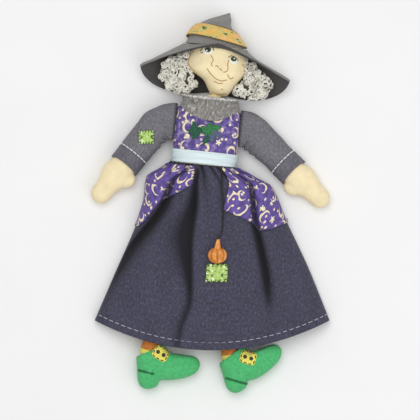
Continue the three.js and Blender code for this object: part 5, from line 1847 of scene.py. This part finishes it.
class DOLL_OT_legs(bpy.types.Operator):
    """Makes the stockings, the felt boots and their buckles"""

    bl_idname = "doll.legs"
    bl_label = "Legs and boots"

    def execute(self, context):
        dyes = colours(context)
        for name in ("right", "left"):
            self.leg(dyes, name)
            self.boot(dyes, name)
            self.buckle(dyes, name)
        return {"FINISHED"}

    def leg(self, dyes, name):
        """A stocking from its round top under the hips to just inside the boot."""
        top = np.array([LEG_TOPS[name], -HIPS_LENGTH - 2 * GAP - THIGH_WIDTH / 2])
        ankle = np.array(ANKLES[name])
        length = float(np.linalg.norm(ankle - top))
        towards = (ankle - top) / length
        half = THIGH_WIDTH / 2
        along = round_ended(length - np.linspace(-3.5, length, 60), -half)
        angle = around(48, BEHIND)
        radius = half + (ANKLE_WIDTH / 2 - half) * np.clip(along / length, 0, 1)
        radius = radius * np.sqrt(np.maximum(0.003, 1 - (np.minimum(0, along) / half) ** 2))
        across = radius * np.cos(angle)
        grid = stacked(
            top[0] + towards[0] * along - towards[1] * across,
            top[1] + towards[1] * along + towards[0] * across,
            DENIM + GAP + half + radius * np.sin(angle),
        )
        made = loft(f"{name}_stocking", lower(grid), [striped_stocking("striped_stocking", dyes)])
        settle_in(made, f"{name}_leg", "striped_stocking", f"{name}_leg", f"{name}_leg_stuffing")

    def seat(self, name, points):
        """From a boot's own frame, with its origin at the ankle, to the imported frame."""
        p = np.asarray(points, float)
        x, y = rotated(p[..., 0], p[..., 1], BOOT_TURNS[name])
        return lower(stacked(x + ANKLES[name][0], y + ANKLES[name][1], p[..., 2] + BOOT_LEVEL))

    def boot(self, dyes, name):
        edge = boot_edge(name)
        degrees = [np.linspace(8, 70, 9), np.linspace(76, 104, 7), np.linspace(110, 172, 9)]
        turn = np.radians(np.concatenate(degrees))[:, None]
        share = (np.sin(turn) ** 0.6)[..., None]
        flat = BOOT_HEART + (edge - BOOT_HEART)[None] * share
        grid = stacked(flat[..., 0], flat[..., 1], BOOT_THICKNESS / 2 * np.cos(turn) + 0 * flat[..., 0])
        start, end = (np.array(point) for point in HEEL_SEAMS[name])
        run = (end - start) / np.linalg.norm(end - start)
        off = (flat - start) @ np.array([-run[1], run[0]])
        past = (flat - end) @ run
        heel = bell(off, 1.1) * (1 - smooth(past, 0, 1.5))
        grid[..., 2] -= 1.5 * heel * np.cos(turn)
        green = felt("green_felt", dyes.boot, 0.1, True)
        made = loft(f"{name}_boot_felt", self.seat(name, grid), [green])
        count = grid.shape[0] * grid.shape[1]
        held = np.zeros(len(made.data.vertices), bool)
        held[:count] = (np.abs(np.cos(turn)) < 0.1).repeat(grid.shape[1], 1).reshape(-1)
        held[:count] |= (heel > 0.4).reshape(-1)
        stuff(made, held, *BOOT_STUFFING)
        path = np.linspace(start + 0.4 * run, end - 0.4 * run, 24)
        laid = self.seat(name, laid_on(boot_top(name), path, -0.9))
        thread = sewing_thread("boot_thread", "#1f6f3f")
        settle_in(tubes(f"{name}_heel_seam", [laid], SEAM_THREAD, 8, [thread]), f"{name}_leg", "green_felt")
        slant = BOOT_SLANT + BOOT_TURNS[name]
        ankle = lower(np.array([*ANKLES[name], 0.0])) * MM
        shape = bmesh.new()
        shape.from_mesh(made.data)
        cut = bmesh.ops.bisect_plane(
            shape, geom=[*shape.verts, *shape.edges, *shape.faces], plane_co=ankle,
            plane_no=(-math.sin(slant), math.cos(slant), 0), clear_outer=True,
        )
        rim = [item for item in cut["geom_cut"] if isinstance(item, bmesh.types.BMEdge)]
        bmesh.ops.edgeloop_fill(shape, edges=rim)
        shape.to_mesh(made.data)
        shape.free()
        settle_in(made, f"{name}_leg", "green_felt", f"{name}_boot")

    def buckle(self, dyes, name):
        """A felt buckle with two eyelets, laid on the boot."""
        corner = around(64)[0]
        wide, high = BUCKLE_SIZE
        x = wide / 2 * np.sign(np.cos(corner)) * np.abs(np.cos(corner)) ** 0.45
        y = high / 2 * np.sign(np.sin(corner)) * np.abs(np.sin(corner)) ** 0.45
        yellow = felt("yellow_felt", dyes.buckle)
        dark = sewing_thread("dark_thread", "#3b3a28")
        made = self.laid(name, f"{name}_buckle_felt", x, y, 0.2, 1.4, yellow)
        settle_in(made, f"{name}_leg", "yellow_felt", f"{name}_buckle")
        turned = np.append(np.arange(64), 0)
        rim = self.about(name, 0.86 * x[turned], 0.86 * y[turned])
        sewn = stitches(self.seat(name, laid_on(boot_top(name), rim, 1.6)), *BUCKLE_STITCH)
        row = tubes(f"{name}_buckle_stitches", sewn, BUCKLE_THREAD, 6, [dark])
        settle_in(row, f"{name}_leg", "yellow_felt")
        for letter, middle in (("a", -wide / 5), ("b", wide / 5)):
            x = middle + BUCKLE_HOLE * np.cos(corner[::3])
            y = BUCKLE_HOLE * np.sin(corner[::3])
            eyelet = self.laid(name, f"{name}_eyelet_{letter}", x, y, 1.55, 0.25, dark)
            settle_in(eyelet, f"{name}_leg", "yellow_felt")

    def about(self, name, x, y):
        """Places on the boot from places on its tilted buckle."""
        x, y = rotated(x, y, BUCKLE_TILT)
        return np.stack([BUCKLE_PLACES[name][0] + x, BUCKLE_PLACES[name][1] + y], -1)

    def laid(self, name, label, x, y, lift, thickness, material):
        """A flat piece at the buckle's place, on a boot's top."""
        edge = self.about(name, x, y)
        top = boot_top(name)

        def height(a, b):
            return top(a, b) + lift

        def place(points):
            return self.seat(name, points)

        return applique(label, edge, height, thickness, [material], place, 9)


class DOLL_PT_sidebar(bpy.types.Panel):
    """Lists the doll's makers, sizes and colours"""

    bl_idname = "DOLL_PT_sidebar"
    bl_label = "Cloth Witch Doll"
    bl_space_type = "VIEW_3D"
    bl_region_type = "UI"
    bl_category = "Doll"

    def draw(self, context):
        for operator in OPERATORS:
            self.layout.operator(operator.bl_idname)
        for group in (context.scene.doll_sizes, context.scene.doll_colours):
            for key in group.__annotations__:
                self.layout.prop(group, key)


OPERATORS = (
    DOLL_OT_stage, DOLL_OT_charm, DOLL_OT_torso, DOLL_OT_cowl, DOLL_OT_arms, DOLL_OT_head, DOLL_OT_hair,
    DOLL_OT_hat, DOLL_OT_skirt, DOLL_OT_legs,
)
CLASSES = (DollColours, DollSizes, *OPERATORS, DOLL_PT_sidebar)


def register():
    for item in CLASSES:
        bpy.utils.register_class(item)
    bpy.types.Scene.doll_colours = bpy.props.PointerProperty(type=DollColours)
    bpy.types.Scene.doll_sizes = bpy.props.PointerProperty(type=DollSizes)


def unregister():
    del bpy.types.Scene.doll_colours
    del bpy.types.Scene.doll_sizes
    for item in reversed(CLASSES):
        bpy.utils.unregister_class(item)


def main():
    register()
    bpy.ops.doll.stage()
    bpy.ops.doll.charm()
    bpy.ops.doll.torso()
    bpy.ops.doll.cowl()
    bpy.ops.doll.arms()
    bpy.ops.doll.head()
    bpy.ops.doll.hair()
    bpy.ops.doll.hat()
    bpy.ops.doll.skirt()
    bpy.ops.doll.legs()
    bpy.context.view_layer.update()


if __name__ == "__main__":
    main()
